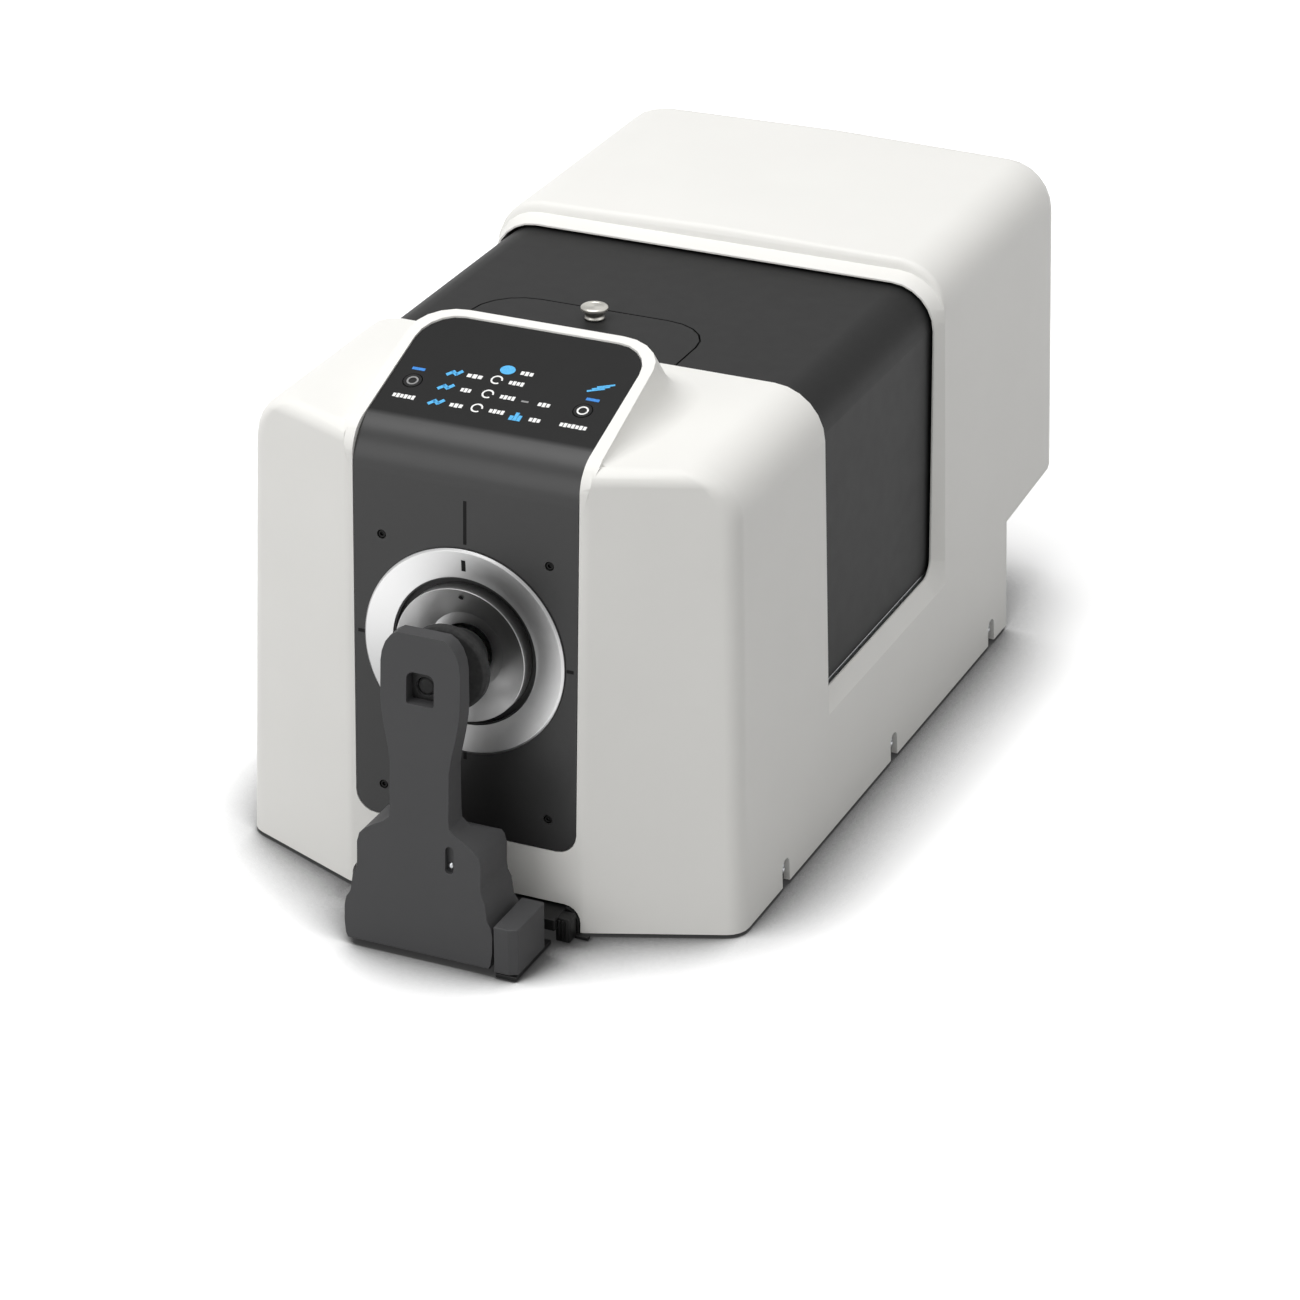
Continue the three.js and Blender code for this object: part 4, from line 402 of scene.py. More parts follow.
@dataclass(frozen=True)
class SpunMetal:
    """Metal turned on a lathe: fine rings, a painted sheen in its colour that fans out from the
    centre, and where asked a painted reflection of a dark pad with painted shade in its middle.
    """

    name: str
    rgb: tuple[int, int, int]
    centre: Vector
    turn: float = LEAN
    groove_mm: float = 0.5
    # Depth and turn of the painted sheen, which lightens and darkens the colour by the angle round
    # the centre.
    painted_sheen: float = 0.35
    painted_sheen_turn: float = 0.6
    # Radii and darkest share of a painted reflection of the dark pad, with painted shade, that
    # darkens the middle.
    painted_pad_reflection_mm: tuple[float, float] = (0.0, 0.0)
    painted_pad_reflection_share: float = 0.3
    rings_a_unit: float = 3.2

    def make(self) -> bpy.types.Material:
        """Builds the material.

        Returns:
            The material.
        """
        shader = Shader(self.name)
        vector = shader.mapped(centre=self.centre, turn=self.turn)
        axes = shader.split(vector)
        # Painted sheen: the colour lightens and darkens in lobes by the angle round the centre.
        angle = shader.maths("ARCTAN2", axes["Z"], axes["X"])
        wave = shader.maths("COSINE", shader.maths("MULTIPLY_ADD", angle, 2.0, self.painted_sheen_turn))
        painted_sheen = shader.spread(wave, 1 - self.painted_sheen, 1.0, -1, 1)
        rings = shader.node("TexWave", wave_type="RINGS", rings_direction="Y", wave_profile="SIN")
        scale = 1 / (self.groove_mm * MM) / self.rings_a_unit
        for name, number in (("Scale", scale), ("Distortion", 0.6), ("Detail", 3),
                             ("Detail Scale", 3)):
            rings.inputs[name].default_value = number
        shader.link(vector, rings.inputs["Vector"])
        streak = shader.spread(rings.outputs["Fac"], 0.9, 1.0, 0, 1)
        painted_light_and_grooves = shader.maths("MULTIPLY", painted_sheen, streak)
        # Painted reflection of the dark pad and painted shade darken the colour towards the middle.
        if self.painted_pad_reflection_mm[1]:
            flat = shader.node("CombineXYZ")
            shader.link(axes["X"], flat.inputs["X"])
            shader.link(axes["Z"], flat.inputs["Y"])
            core = shader.spread(shader.length(flat.outputs[0]), self.painted_pad_reflection_share, 1.0,
                                 self.painted_pad_reflection_mm[0] * MM, self.painted_pad_reflection_mm[1] * MM)
            painted_light_and_grooves = shader.maths("MULTIPLY", painted_light_and_grooves, core)
        # The colour runs from near black to the metal's own, driven by the painted sheen, the
        # grooves and any painted reflection.
        shader.colour(shader.tint(painted_light_and_grooves, srgb(26, 26, 26), shade(self.rgb, 1.0)))
        shader.plain("Metallic", 1.0)
        shader.rough(shader.spread(rings.outputs["Fac"], 0.3, 0.42, 0, 1))
        shader.normal(shader.relief(rings.outputs["Fac"], 0.03, 0.35))
        return shader.material


@dataclass(frozen=True)
class BrushedMetal:
    """Rolled or brushed metal with streaks along one axis."""

    name: str
    rgb: tuple[int, int, int]
    along: tuple[float, float, float] = (0.05, 1.0, 1.0)
    roughness: float = 0.34

    def make(self) -> bpy.types.Material:
        """Builds the material.

        Returns:
            The material.
        """
        shader = Shader(self.name)
        vector = shader.mapped(scale=self.along)
        streak = shader.noise(0.6, 3, vector)
        shader.colour(shader.tint(shader.spread(streak, 0, 1), shade(self.rgb, 0.9),
                                  shade(self.rgb, 1.05)))
        shader.plain("Metallic", 1.0)
        shader.rough(shader.spread(shader.noise(6, 3), self.roughness - 0.06,
                                   self.roughness + 0.08))
        shader.normal(shader.relief(streak, 0.02, 0.25))
        return shader.material


@dataclass(frozen=True)
class SoftRubber:
    """Matt rubber with a dusty bloom."""

    name: str
    rgb: tuple[int, int, int]

    def make(self) -> bpy.types.Material:
        """Builds the material.

        Returns:
            The material.
        """
        shader = Shader(self.name)
        bloom = shader.spread(shader.noise(4, 5), 0, 1)
        shader.colour(shader.tint(bloom, shade(self.rgb, 0.8), shade(self.rgb, 1.25)))
        shader.rough(shader.spread(shader.noise(2.5, 3), 0.72, 0.9))
        shader.normal(shader.relief(shader.noise(0.5, 3), 0.06, 0.3))
        return shader.material


@dataclass(frozen=True)
class ClearGlass:
    """Polished glass with a trace of haze."""

    name: str

    def make(self) -> bpy.types.Material:
        """Builds the material.

        Returns:
            The material.
        """
        shader = Shader(self.name)
        shader.colour(shader.tint(shader.noise(8, 2), srgb(232, 242, 244), srgb(250, 252, 252)))
        shader.rough(shader.spread(shader.noise(3, 3), 0.02, 0.07))
        shader.plain("Transmission Weight", 0.9)
        shader.plain("IOR", 1.5)
        return shader.material


@dataclass(frozen=True)
class SolderMask:
    """Circuit board with copper runs under green lacquer."""

    name: str

    def make(self) -> bpy.types.Material:
        """Builds the material.

        Returns:
            The material.
        """
        shader = Shader(self.name)
        runs = shader.node("TexBrick", offset=0.35, squash=0.6, squash_frequency=3)
        for name, value in (("Scale", 90), ("Mortar Size", 0.035), ("Color1", srgb(24, 84, 54)),
                            ("Color2", srgb(28, 92, 58)), ("Mortar", srgb(62, 128, 84))):
            runs.inputs[name].default_value = value
        shader.link(shader.place, runs.inputs["Vector"])
        shader.colour(runs.outputs["Color"])
        shader.rough(shader.spread(shader.noise(5, 2), 0.32, 0.45))
        shader.normal(shader.relief(runs.outputs["Fac"], 0.05, 0.4))
        return shader.material


@dataclass(frozen=True)
class DiffuseCoat:
    """Chalky white lining of the sphere."""

    name: str

    def make(self) -> bpy.types.Material:
        """Builds the material.

        Returns:
            The material.
        """
        shader = Shader(self.name)
        shader.colour(shader.tint(shader.noise(12, 4), srgb(236, 236, 232), srgb(246, 246, 244)))
        shader.rough(shader.spread(shader.noise(2, 2), 0.88, 0.98))
        shader.normal(shader.relief(shader.noise(0.7, 4), 0.05, 0.25))
        return shader.material


@dataclass(frozen=True)
class PrintedInk:
    """Screen-printed ink, slightly uneven."""

    ink: Ink

    def make(self) -> bpy.types.Material:
        """Builds the material.

        Returns:
            The material.
        """
        shader = Shader("ink_" + self.ink.name.lower())
        uneven = shader.spread(shader.noise(0.8, 2), 0, 1)
        shader.colour(shader.tint(uneven, shade(self.ink.value, 0.93),
                                  shade(self.ink.value, 1.04)))
        shader.rough(shader.spread(shader.noise(1.5, 2), 0.4, 0.55))
        shader.plain("Specular IOR Level", 0.1)
        return shader.material


class Finishes:
    """All finishes of the instrument, built once."""

    def __init__(self) -> None:
        """Builds every finish."""
        self.shell = MouldedPlastic("white_shell", (240, 239, 235), 0.45, 0.4, 0.05, 0.006,
                                    0.3).make()
        self.panel = FilmedPlastic("dark_front_panel", (50, 50, 50), 0.34, 0.35, 0.05, 0.006,
                                   0.32).make()
        self.key = MouldedPlastic("dark_key", (30, 30, 30), 0.4, 0.35, 0.05, 0.01, 0.12).make()
        self.lid = MouldedPlastic("dark_lid", (38, 38, 38), 0.5, 0.35, 0.05, 0.004, 0.1).make()
        self.arm = MouldedPlastic("holder_grey", (72, 72, 73), 0.6, 0.6, 0.3, 0.02, 0.25).make()
        self.black = MouldedPlastic("black_moulding", (18, 18, 18), 0.5, 0.5, 0.2, 0.05,
                                    0.3).make()
        self.flock = MouldedPlastic("black_chamber_wall", (16, 16, 16), 0.85, 0.7, 0.5,
                                    0.1).make()
        # The ring, mask and knob carry a painted sheen; the mask also carries a painted reflection
        # of the pad with painted shade in its middle.
        self.ring = SpunMetal("spun_port_ring", (206, 206, 206), PORT_CENTRE, painted_sheen=0.5,
                              painted_sheen_turn=1.25).make()
        self.mask = SpunMetal("spun_target_mask", (196, 196, 196), PORT_CENTRE, groove_mm=0.4,
                              painted_sheen=0.5, painted_sheen_turn=1.3, painted_pad_reflection_mm=(14.0, 22.0), painted_pad_reflection_share=0.8).make()
        self.knob = SpunMetal("turned_knob", (205, 203, 196), at(*KNOB_MM), math.pi / 2,
                              groove_mm=0.3, painted_sheen=0.3).make()
        self.steel = BrushedMetal("steel", (180, 182, 184), (1, 1, 0.1), 0.3).make()
        self.black_steel = BrushedMetal("blackened_steel", (34, 34, 34), (1, 1, 1), 0.45).make()
        self.sheet = BrushedMetal("aluminium_sheet", (168, 171, 174), (1, 0.04, 1), 0.4).make()
        self.anodised = BrushedMetal("black_anodised", (30, 30, 32), (1, 0.1, 1), 0.5).make()
        self.rubber = SoftRubber("rubber", (30, 30, 30)).make()
        self.coat = DiffuseCoat("sphere_coat").make()
        self.glass = ClearGlass("clear_glass").make()
        self.board = SolderMask("circuit_board").make()
        self.core = BrushedMetal("lacquered_core", (92, 92, 96), (1, 1, 0.02), 0.5).make()
        self.inks = {ink: PrintedInk(ink).make() for ink in Ink}


class Workshop:
    """Makes meshes into pieces of the instrument."""

    def __init__(self, finishes: Finishes) -> None:
        """Keeps the finishes at hand."""
        self.finishes = finishes

    def piece(self, name: str, mesh: bmesh.types.BMesh, material: bpy.types.Material, slot: str,
              replaces: tuple[str, ...] = (), body: str = "instrument",
              smooth_deg: float = 35.0) -> bpy.types.Object:
        """Makes an object of a finished mesh and mounts it on a body.

        Args:
            name: name of the piece.
            mesh: its mesh, in place, which is freed.
            material: its finish.
            slot: slot of the record that its finish belongs to; not used.
            replaces: solids that it stands for.
            body: body that it rides on.
            smooth_deg: edges flatter than this are shaded smooth.

        Returns:
            The new object.
        """
        data = bpy.data.meshes.new(name)
        mesh.to_mesh(data)
        mesh.free()
        data.materials.append(material)
        thing = bpy.data.objects.new(name, data)
        bpy.context.scene.collection.objects.link(thing)
        data.shade_smooth()
        data.set_sharp_from_angle(angle=math.radians(smooth_deg))
        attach(thing, body)
        if replaces:
            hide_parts(*replaces)
        LOG.info("%s: %d faces on %s", name, len(data.polygons), body)
        return thing

    def joined_copy(self, node: str) -> bmesh.types.BMesh:
        """Copy of a solid's mesh with its corners joined.

        Args:
            node: name of the solid.

        Returns:
            The copy, in place.
        """
        mesh = bmesh.new()
        mesh.from_mesh(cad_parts[node].data)
        bmesh.ops.remove_doubles(mesh, verts=mesh.verts, dist=JOIN)
        return mesh

    def refined(self, node: str, material: bpy.types.Material, slot: str, edge_mm: float = 0.4,
                segments: int = 2, smooth_deg: float = 32.0,
                body: str = "instrument") -> bpy.types.Object:
        """Finer version of a solid, with its edges broken and its curves shaded smooth.

        Args:
            node: name of the solid.
            material: its finish.
            slot: slot of the record; passed on, not used.
            edge_mm: width of the broken edges.
            segments: faces across a broken edge.
            smooth_deg: edges flatter than this are part of a curve.
            body: body that it rides on.

        Returns:
            The new object.
        """
        mesh = self.joined_copy(node)
        bmesh.ops.dissolve_limit(mesh, angle_limit=math.radians(FLAT_DEG), verts=mesh.verts,
                                 edges=mesh.edges, use_dissolve_boundaries=False)
        thing = self.piece(node + "_look", mesh, material, slot, (node,), body, 30)
        bevel = thing.modifiers.new("broken_edges", "BEVEL")
        bevel.width = edge_mm * MM
        bevel.segments = segments
        bevel.limit_method = "ANGLE"
        bevel.angle_limit = math.radians(smooth_deg)
        even = thing.modifiers.new("even_normals", "WEIGHTED_NORMAL")
        even.keep_sharp = True
        even.weight = 60
        return thing

    def dress(self, node: str, material: bpy.types.Material) -> None:
        """Gives a solid that stays as it is its finish."""
        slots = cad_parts[node].data.materials
        slots.clear()
        slots.append(material)

    def spun(self, profile: list[tuple[float, float]], placed: Matrix,
             segments: int = 96) -> bmesh.types.BMesh:
        """Solid of revolution about the local Y axis.

        Args:
            profile: points of (radius, y) in millimetres, closed on itself or on the axis.
            placed: where the local frame lies.
            segments: faces round the axis.

        Returns:
            The mesh, in place.
        """
        mesh = bmesh.new()
        verts = [mesh.verts.new((r * MM, y * MM, 0)) for r, y in profile]
        edges = [mesh.edges.new((a, b)) for a, b in zip(verts, verts[1:])]
        if profile[0][0] > 0 and profile[-1][0] > 0:
            edges.append(mesh.edges.new((verts[-1], verts[0])))
        bmesh.ops.spin(mesh, geom=verts + edges, cent=(0, 0, 0), axis=(0, 1, 0),
                       angle=2 * math.pi, steps=segments, use_merge=True)
        bmesh.ops.remove_doubles(mesh, verts=mesh.verts, dist=1e-7)
        bmesh.ops.recalc_face_normals(mesh, faces=mesh.faces)
        bmesh.ops.transform(mesh, matrix=placed, verts=mesh.verts)
        return mesh

    def broken(self, mesh: bmesh.types.BMesh, width_mm: float) -> None:
        """Breaks every edge of a mesh."""
        bmesh.ops.bevel(mesh, geom=mesh.edges[:], offset=width_mm * MM, segments=2, profile=0.5,
                        affect="EDGES", material=-1)

    def plate(self, corners: list[tuple[float, float]], thick_mm: float, placed: Matrix,
              bevel_mm: float = 0.0) -> bmesh.types.BMesh:
        """Flat plate in the local XY plane with its face towards local +Z.

        Args:
            corners: outline in millimetres.
            thick_mm: thickness, upwards from the plane.
            placed: where the local frame lies.
            bevel_mm: width of its broken edges.

        Returns:
            The mesh, in place.
        """
        mesh = bmesh.new()
        face = mesh.faces.new([mesh.verts.new((x * MM, y * MM, 0)) for x, y in corners])
        grown = bmesh.ops.extrude_face_region(mesh, geom=[face])
        tops = [v for v in grown["geom"] if isinstance(v, bmesh.types.BMVert)]
        bmesh.ops.translate(mesh, vec=(0, 0, thick_mm * MM), verts=tops)
        bmesh.ops.recalc_face_normals(mesh, faces=mesh.faces)
        if bevel_mm:
            self.broken(mesh, bevel_mm)
        bmesh.ops.transform(mesh, matrix=placed, verts=mesh.verts)
        return mesh

    def ring_print(self, outer_mm: float, inner_mm: float, thick_mm: float, placed: Matrix,
                   arc_deg: float = 360.0) -> bmesh.types.BMesh:
        """Printed ring, or part of one, in the local XY plane.

        Args:
            outer_mm: outer radius.
            inner_mm: inner radius.
            thick_mm: thickness of the ink.
            placed: where the local frame lies.
            arc_deg: length of the arc.

        Returns:
            The mesh, in place.
        """
        mesh = bmesh.new()
        spots = [(inner_mm, 0), (outer_mm, 0), (outer_mm, thick_mm), (inner_mm, thick_mm)]
        verts = [mesh.verts.new((x * MM, 0, z * MM)) for x, z in spots]
        face = mesh.faces.new(verts)
        full = arc_deg >= 360
        bmesh.ops.spin(mesh, geom=[face] + verts + list(face.edges), cent=(0, 0, 0), axis=(0, 0, 1),
                       angle=math.radians(arc_deg), steps=32, use_merge=full)
        if full:
            bmesh.ops.remove_doubles(mesh, verts=mesh.verts, dist=1e-8)
            inner = [f for f in mesh.faces if len(f.verts) == 4 and abs(f.normal.z) < 0.5
                     and abs(f.calc_center_median().y) < 1e-9]
            bmesh.ops.delete(mesh, geom=inner, context="FACES_ONLY")
        bmesh.ops.recalc_face_normals(mesh, faces=mesh.faces)
        bmesh.ops.transform(mesh, matrix=placed, verts=mesh.verts)
        return mesh

    def box(self, low: Vector, high: Vector, bevel_mm: float = 0.3) -> bmesh.types.BMesh:
        """Box with its edges broken.

        Args:
            low: its lowest corner.
            high: its highest corner.
            bevel_mm: width of its broken edges.

        Returns:
            The mesh, in place.
        """
        mesh = bmesh.new()
        bmesh.ops.create_cube(mesh, size=1.0)
        bmesh.ops.scale(mesh, vec=high - low, verts=mesh.verts)
        bmesh.ops.translate(mesh, vec=(low + high) / 2, verts=mesh.verts)
        self.broken(mesh, bevel_mm)
        return mesh


def rounded_profile(points: list[tuple[float, float, float]],
                    steps: int = 4) -> list[tuple[float, float]]:
    """Profile with arcs at its inner points.

    Args:
        points: (radius, y, corner radius) in millimetres.
        steps: pieces in each arc.

    Returns:
        Points of (radius, y).
    """
    most = 0.48
    result = []
    for i, (x, y, r) in enumerate(points):
        here = Vector((x, y))
        if r <= 0 or i in (0, len(points) - 1):
            result.append((x, y))
            continue
        a = Vector(points[i - 1][:2]) - here
        b = Vector(points[i + 1][:2]) - here
        half = a.angle(b) / 2
        reach = min(r / math.tan(half), a.length * most, b.length * most)
        start = here + a.normalized() * reach
        end = here + b.normalized() * reach
        for s in range(steps + 1):
            t = s / steps
            point = start * (1 - t) ** 2 + here * 2 * t * (1 - t) + end * t ** 2
            result.append((point.x, point.y))
    return result


@dataclass
class Studio:
    """Camera, lamps, world and floor."""

    eye_mm: tuple[float, float, float] = (786.59, -1558.34, 998.48)
    yaw: float = 0.4198
    pitch: float = 0.4369
    focal_px: float = 4450.45
    frame_px: float = 1300.0
    centre_px: tuple[float, float] = (650.1, 539.65)
    sensor_mm: float = 36.0
    far_m: float = 50.0
    aim: tuple[float, float, float] = (0.0, 0.0, 0.1)
    lamps: tuple[tuple[str, tuple[float, float, float], float, float], ...] = (
        ("key_lamp", (-0.3, -0.4, 2.35), 1.8, 37),
        ("front_lamp", (-0.9, -2.3, 1.1), 1.5, 17),
        ("side_lamp", (2.4, 0.1, 0.9), 1.4, 3.5))
    world_light: float = 0.36
    floor_m: float = 6.0
    floor_bounce: float = 0.38
    floor_lift: float = 0.42
    lift_span: tuple[float, float] = (0.45, 1.1)
    # Reach, darkest share and read span of the painted contact shadow that ambient occlusion lays
    # on the floor.
    painted_shadow_reach: float = 0.078
    painted_shadow_dark: float = 0.06
    painted_shadow_span: tuple[float, float] = (0.48, 0.92)

    def camera(self) -> None:
        """Places the camera where the photograph was taken from."""
        data = bpy.data.cameras.new("camera")
        data.sensor_width = self.sensor_mm
        data.lens = self.focal_px / self.frame_px * data.sensor_width
        data.shift_x = (self.frame_px / 2 - self.centre_px[0]) / self.frame_px
        data.shift_y = (self.centre_px[1] - self.frame_px / 2) / self.frame_px
        data.clip_end = self.far_m
        back = Vector((math.sin(self.yaw) * math.cos(self.pitch),
                       -math.cos(self.yaw) * math.cos(self.pitch), math.sin(self.pitch)))
        right = Vector((math.cos(self.yaw), math.sin(self.yaw), 0))
        up = back.cross(right)
        turn = Matrix((right, up, back)).transposed().to_4x4()
        thing = bpy.data.objects.new("camera", data)
        thing.matrix_world = Matrix.Translation(at(*self.eye_mm)) @ turn
        bpy.context.scene.collection.objects.link(thing)
        bpy.context.scene.camera = thing

    def lamp(self, name: str, spot: tuple[float, float, float], size: float,
             watts: float) -> None:
        """Adds a square soft lamp that looks at the instrument.

        Args:
            name: name of the lamp.
            spot: its place in metres.
            size: side of the square in metres.
            watts: its power.
        """
        data = bpy.data.lights.new(name, "AREA")
        data.shape = "SQUARE"
        data.size = size
        data.energy = watts
        thing = bpy.data.objects.new(name, data)
        thing.location = spot
        way = Vector(self.aim) - Vector(spot)
        thing.rotation_euler = way.to_track_quat("-Z", "Y").to_euler()
        bpy.context.scene.collection.objects.link(thing)

    def world(self) -> None:
        """Lights the scene evenly and shows white to the camera, to gloss and to glass."""
        world = bpy.data.worlds.new("studio")
        bpy.context.scene.world = world
        world.use_nodes = True
        tree = world.node_tree
        tree.nodes.clear()
        mix = tree.nodes.new("ShaderNodeMixShader")
        tree.links.new(seen_rays(tree), mix.inputs["Fac"])
        for place, strength in ((1, self.world_light), (2, 1.0)):
            light = tree.nodes.new("ShaderNodeBackground")
            light.inputs["Color"].default_value = (1, 1, 1, 1)
            light.inputs["Strength"].default_value = strength
            tree.links.new(light.outputs[0], mix.inputs[place])
        out = tree.nodes.new("ShaderNodeOutputWorld")
        tree.links.new(mix.outputs[0], out.inputs["Surface"])

    def floor(self) -> None:
        """Lays the pale floor, whose colour and glow ambient occlusion darkens near the instrument
        as a painted contact shadow.
        """
        mesh = bmesh.new()
        bmesh.ops.create_grid(mesh, x_segments=1, y_segments=1, size=self.floor_m)
        data = bpy.data.meshes.new("floor")
        mesh.to_mesh(data)
        mesh.free()
        shader = Shader("pale_floor")
        seen = seen_rays(shader.tree)
        # Painted contact shadow: ambient occlusion darkens the floor's colour and glow near the
        # instrument.
        near = shader.node("AmbientOcclusion", samples=16)
        near.inputs["Distance"].default_value = self.painted_shadow_reach
        painted_contact_shadow = shader.spread(near.outputs["AO"], self.painted_shadow_dark, 1.0, *self.painted_shadow_span)
        pale = shader.tint(painted_contact_shadow, srgb(0, 0, 0), srgb(255, 255, 255))
        both = shader.node("Mix", data_type="RGBA")
        both.inputs["A"].default_value = (self.floor_bounce,) * 3 + (1,)
        shader.link(seen, both.inputs["Factor"])
        shader.link(pale, both.inputs["B"])
        shader.colour(both.outputs["Result"])
        lift = shader.spread(shader.length(shader.place), self.floor_lift, 1.0, *self.lift_span)
        glow = shader.maths("MULTIPLY", shader.maths("MULTIPLY", lift, seen), painted_contact_shadow)
        shader.plain("Emission Color", (1, 1, 1, 1))
        shader.link(glow, shader.surface.inputs["Emission Strength"])
        shader.rough(shader.spread(shader.noise(60, 2), 0.85, 0.95))
        shader.plain("Specular IOR Level", 0.1)
        data.materials.append(shader.material)
        thing = bpy.data.objects.new("floor", data)
        bpy.context.scene.collection.objects.link(thing)

    def build(self) -> None:
        """Sets the whole studio."""
        bpy.context.scene.view_settings.view_transform = "Standard"
        self.camera()
        self.world()
        for settings in self.lamps:
            self.lamp(*settings)
        self.floor()
        LOG.info("studio set")


@dataclass
class Assembly:
    """Sub-assembly of the instrument, made in the workshop."""

    shop: Workshop

    @property
    def finishes(self) -> Finishes:
        """The workshop's finishes."""
        return self.shop.finishes


@dataclass
class Housing(Assembly):
    """White cover, front plate, base plate, feet and cover screws."""

    screws_a_side: int = 3

    def build(self) -> None:
        """Builds the housing."""
        shop, finishes = self.shop, self.finishes
        shop.refined("main_cover", finishes.shell, "white_shell", 0.7, 3, 34)
        shop.refined("front_panel", finishes.panel, "dark_panel", 0.35)
        shop.refined("base_plate", finishes.sheet, "sheet", 0.3)
        for where in ("front_left", "front_right", "rear_left", "rear_right"):
            self.foot(where)
        for side in ("left", "right"):
            for number in range(1, self.screws_a_side + 1):
                self.cover_screw(side, number)

    def foot(self, where: str) -> None:
        """Rubber foot with a rounded tread and a dished middle.

        Args:
            where: corner of the instrument that it stands under.
        """
        node = "foot_" + where
        low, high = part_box(node)
        centre = (low + high) / 2
        r = (high.x - low.x) / 2 / MM
        h = (high.z - low.z) / MM
        placed = Matrix.Translation((centre.x, centre.y, low.z)) @ UPRIGHT
        profile = rounded_profile([(0, 0.8, 0), (r * 0.45, 0.8, 0.5), (r * 0.55, 0, 0.5),
                                   (r - 0.4, 0, 0.8), (r - 0.1, h * 0.6, 0.4), (r - 0.6, h, 0.3),
                                   (0, h, 0)])
        self.shop.piece(node + "_look", self.shop.spun(profile, placed, 64), self.finishes.rubber,
                        "rubber", (node,))

    def cover_screw(self, side: str, number: int) -> None:
        """Countersunk screw with a round recess, lying in its notch.

        Args:
            side: side of the instrument, left or right.
            number: its place from the front.
        """
        node = f"cover_screw_{side}_{number}"
        low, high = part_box(node)
        outer, sign = (high.x, 1) if side == "right" else (low.x, -1)
        centre = (low + high) / 2
        turn = Matrix.Rotation(-sign * math.pi / 2, 4, "Z")
        placed = Matrix.Translation((outer, centre.y, centre.z)) @ turn
        r = (high.z - low.z) / 2 / MM
        profile = rounded_profile([(0, -9.2, 0), (1.6, -9.2, 0.3), (1.6, -2.4, 0),
                                   (r - 0.1, -2.2, 0.2), (r - 0.1, -0.9, 0.6), (1.3, -0.05, 0.4),
                                   (0.9, -0.5, 0.2), (0, -1.3, 0)])
        self.shop.piece(node + "_look", self.shop.spun(profile, placed, 40), self.finishes.steel,
                        "steel", (node,))


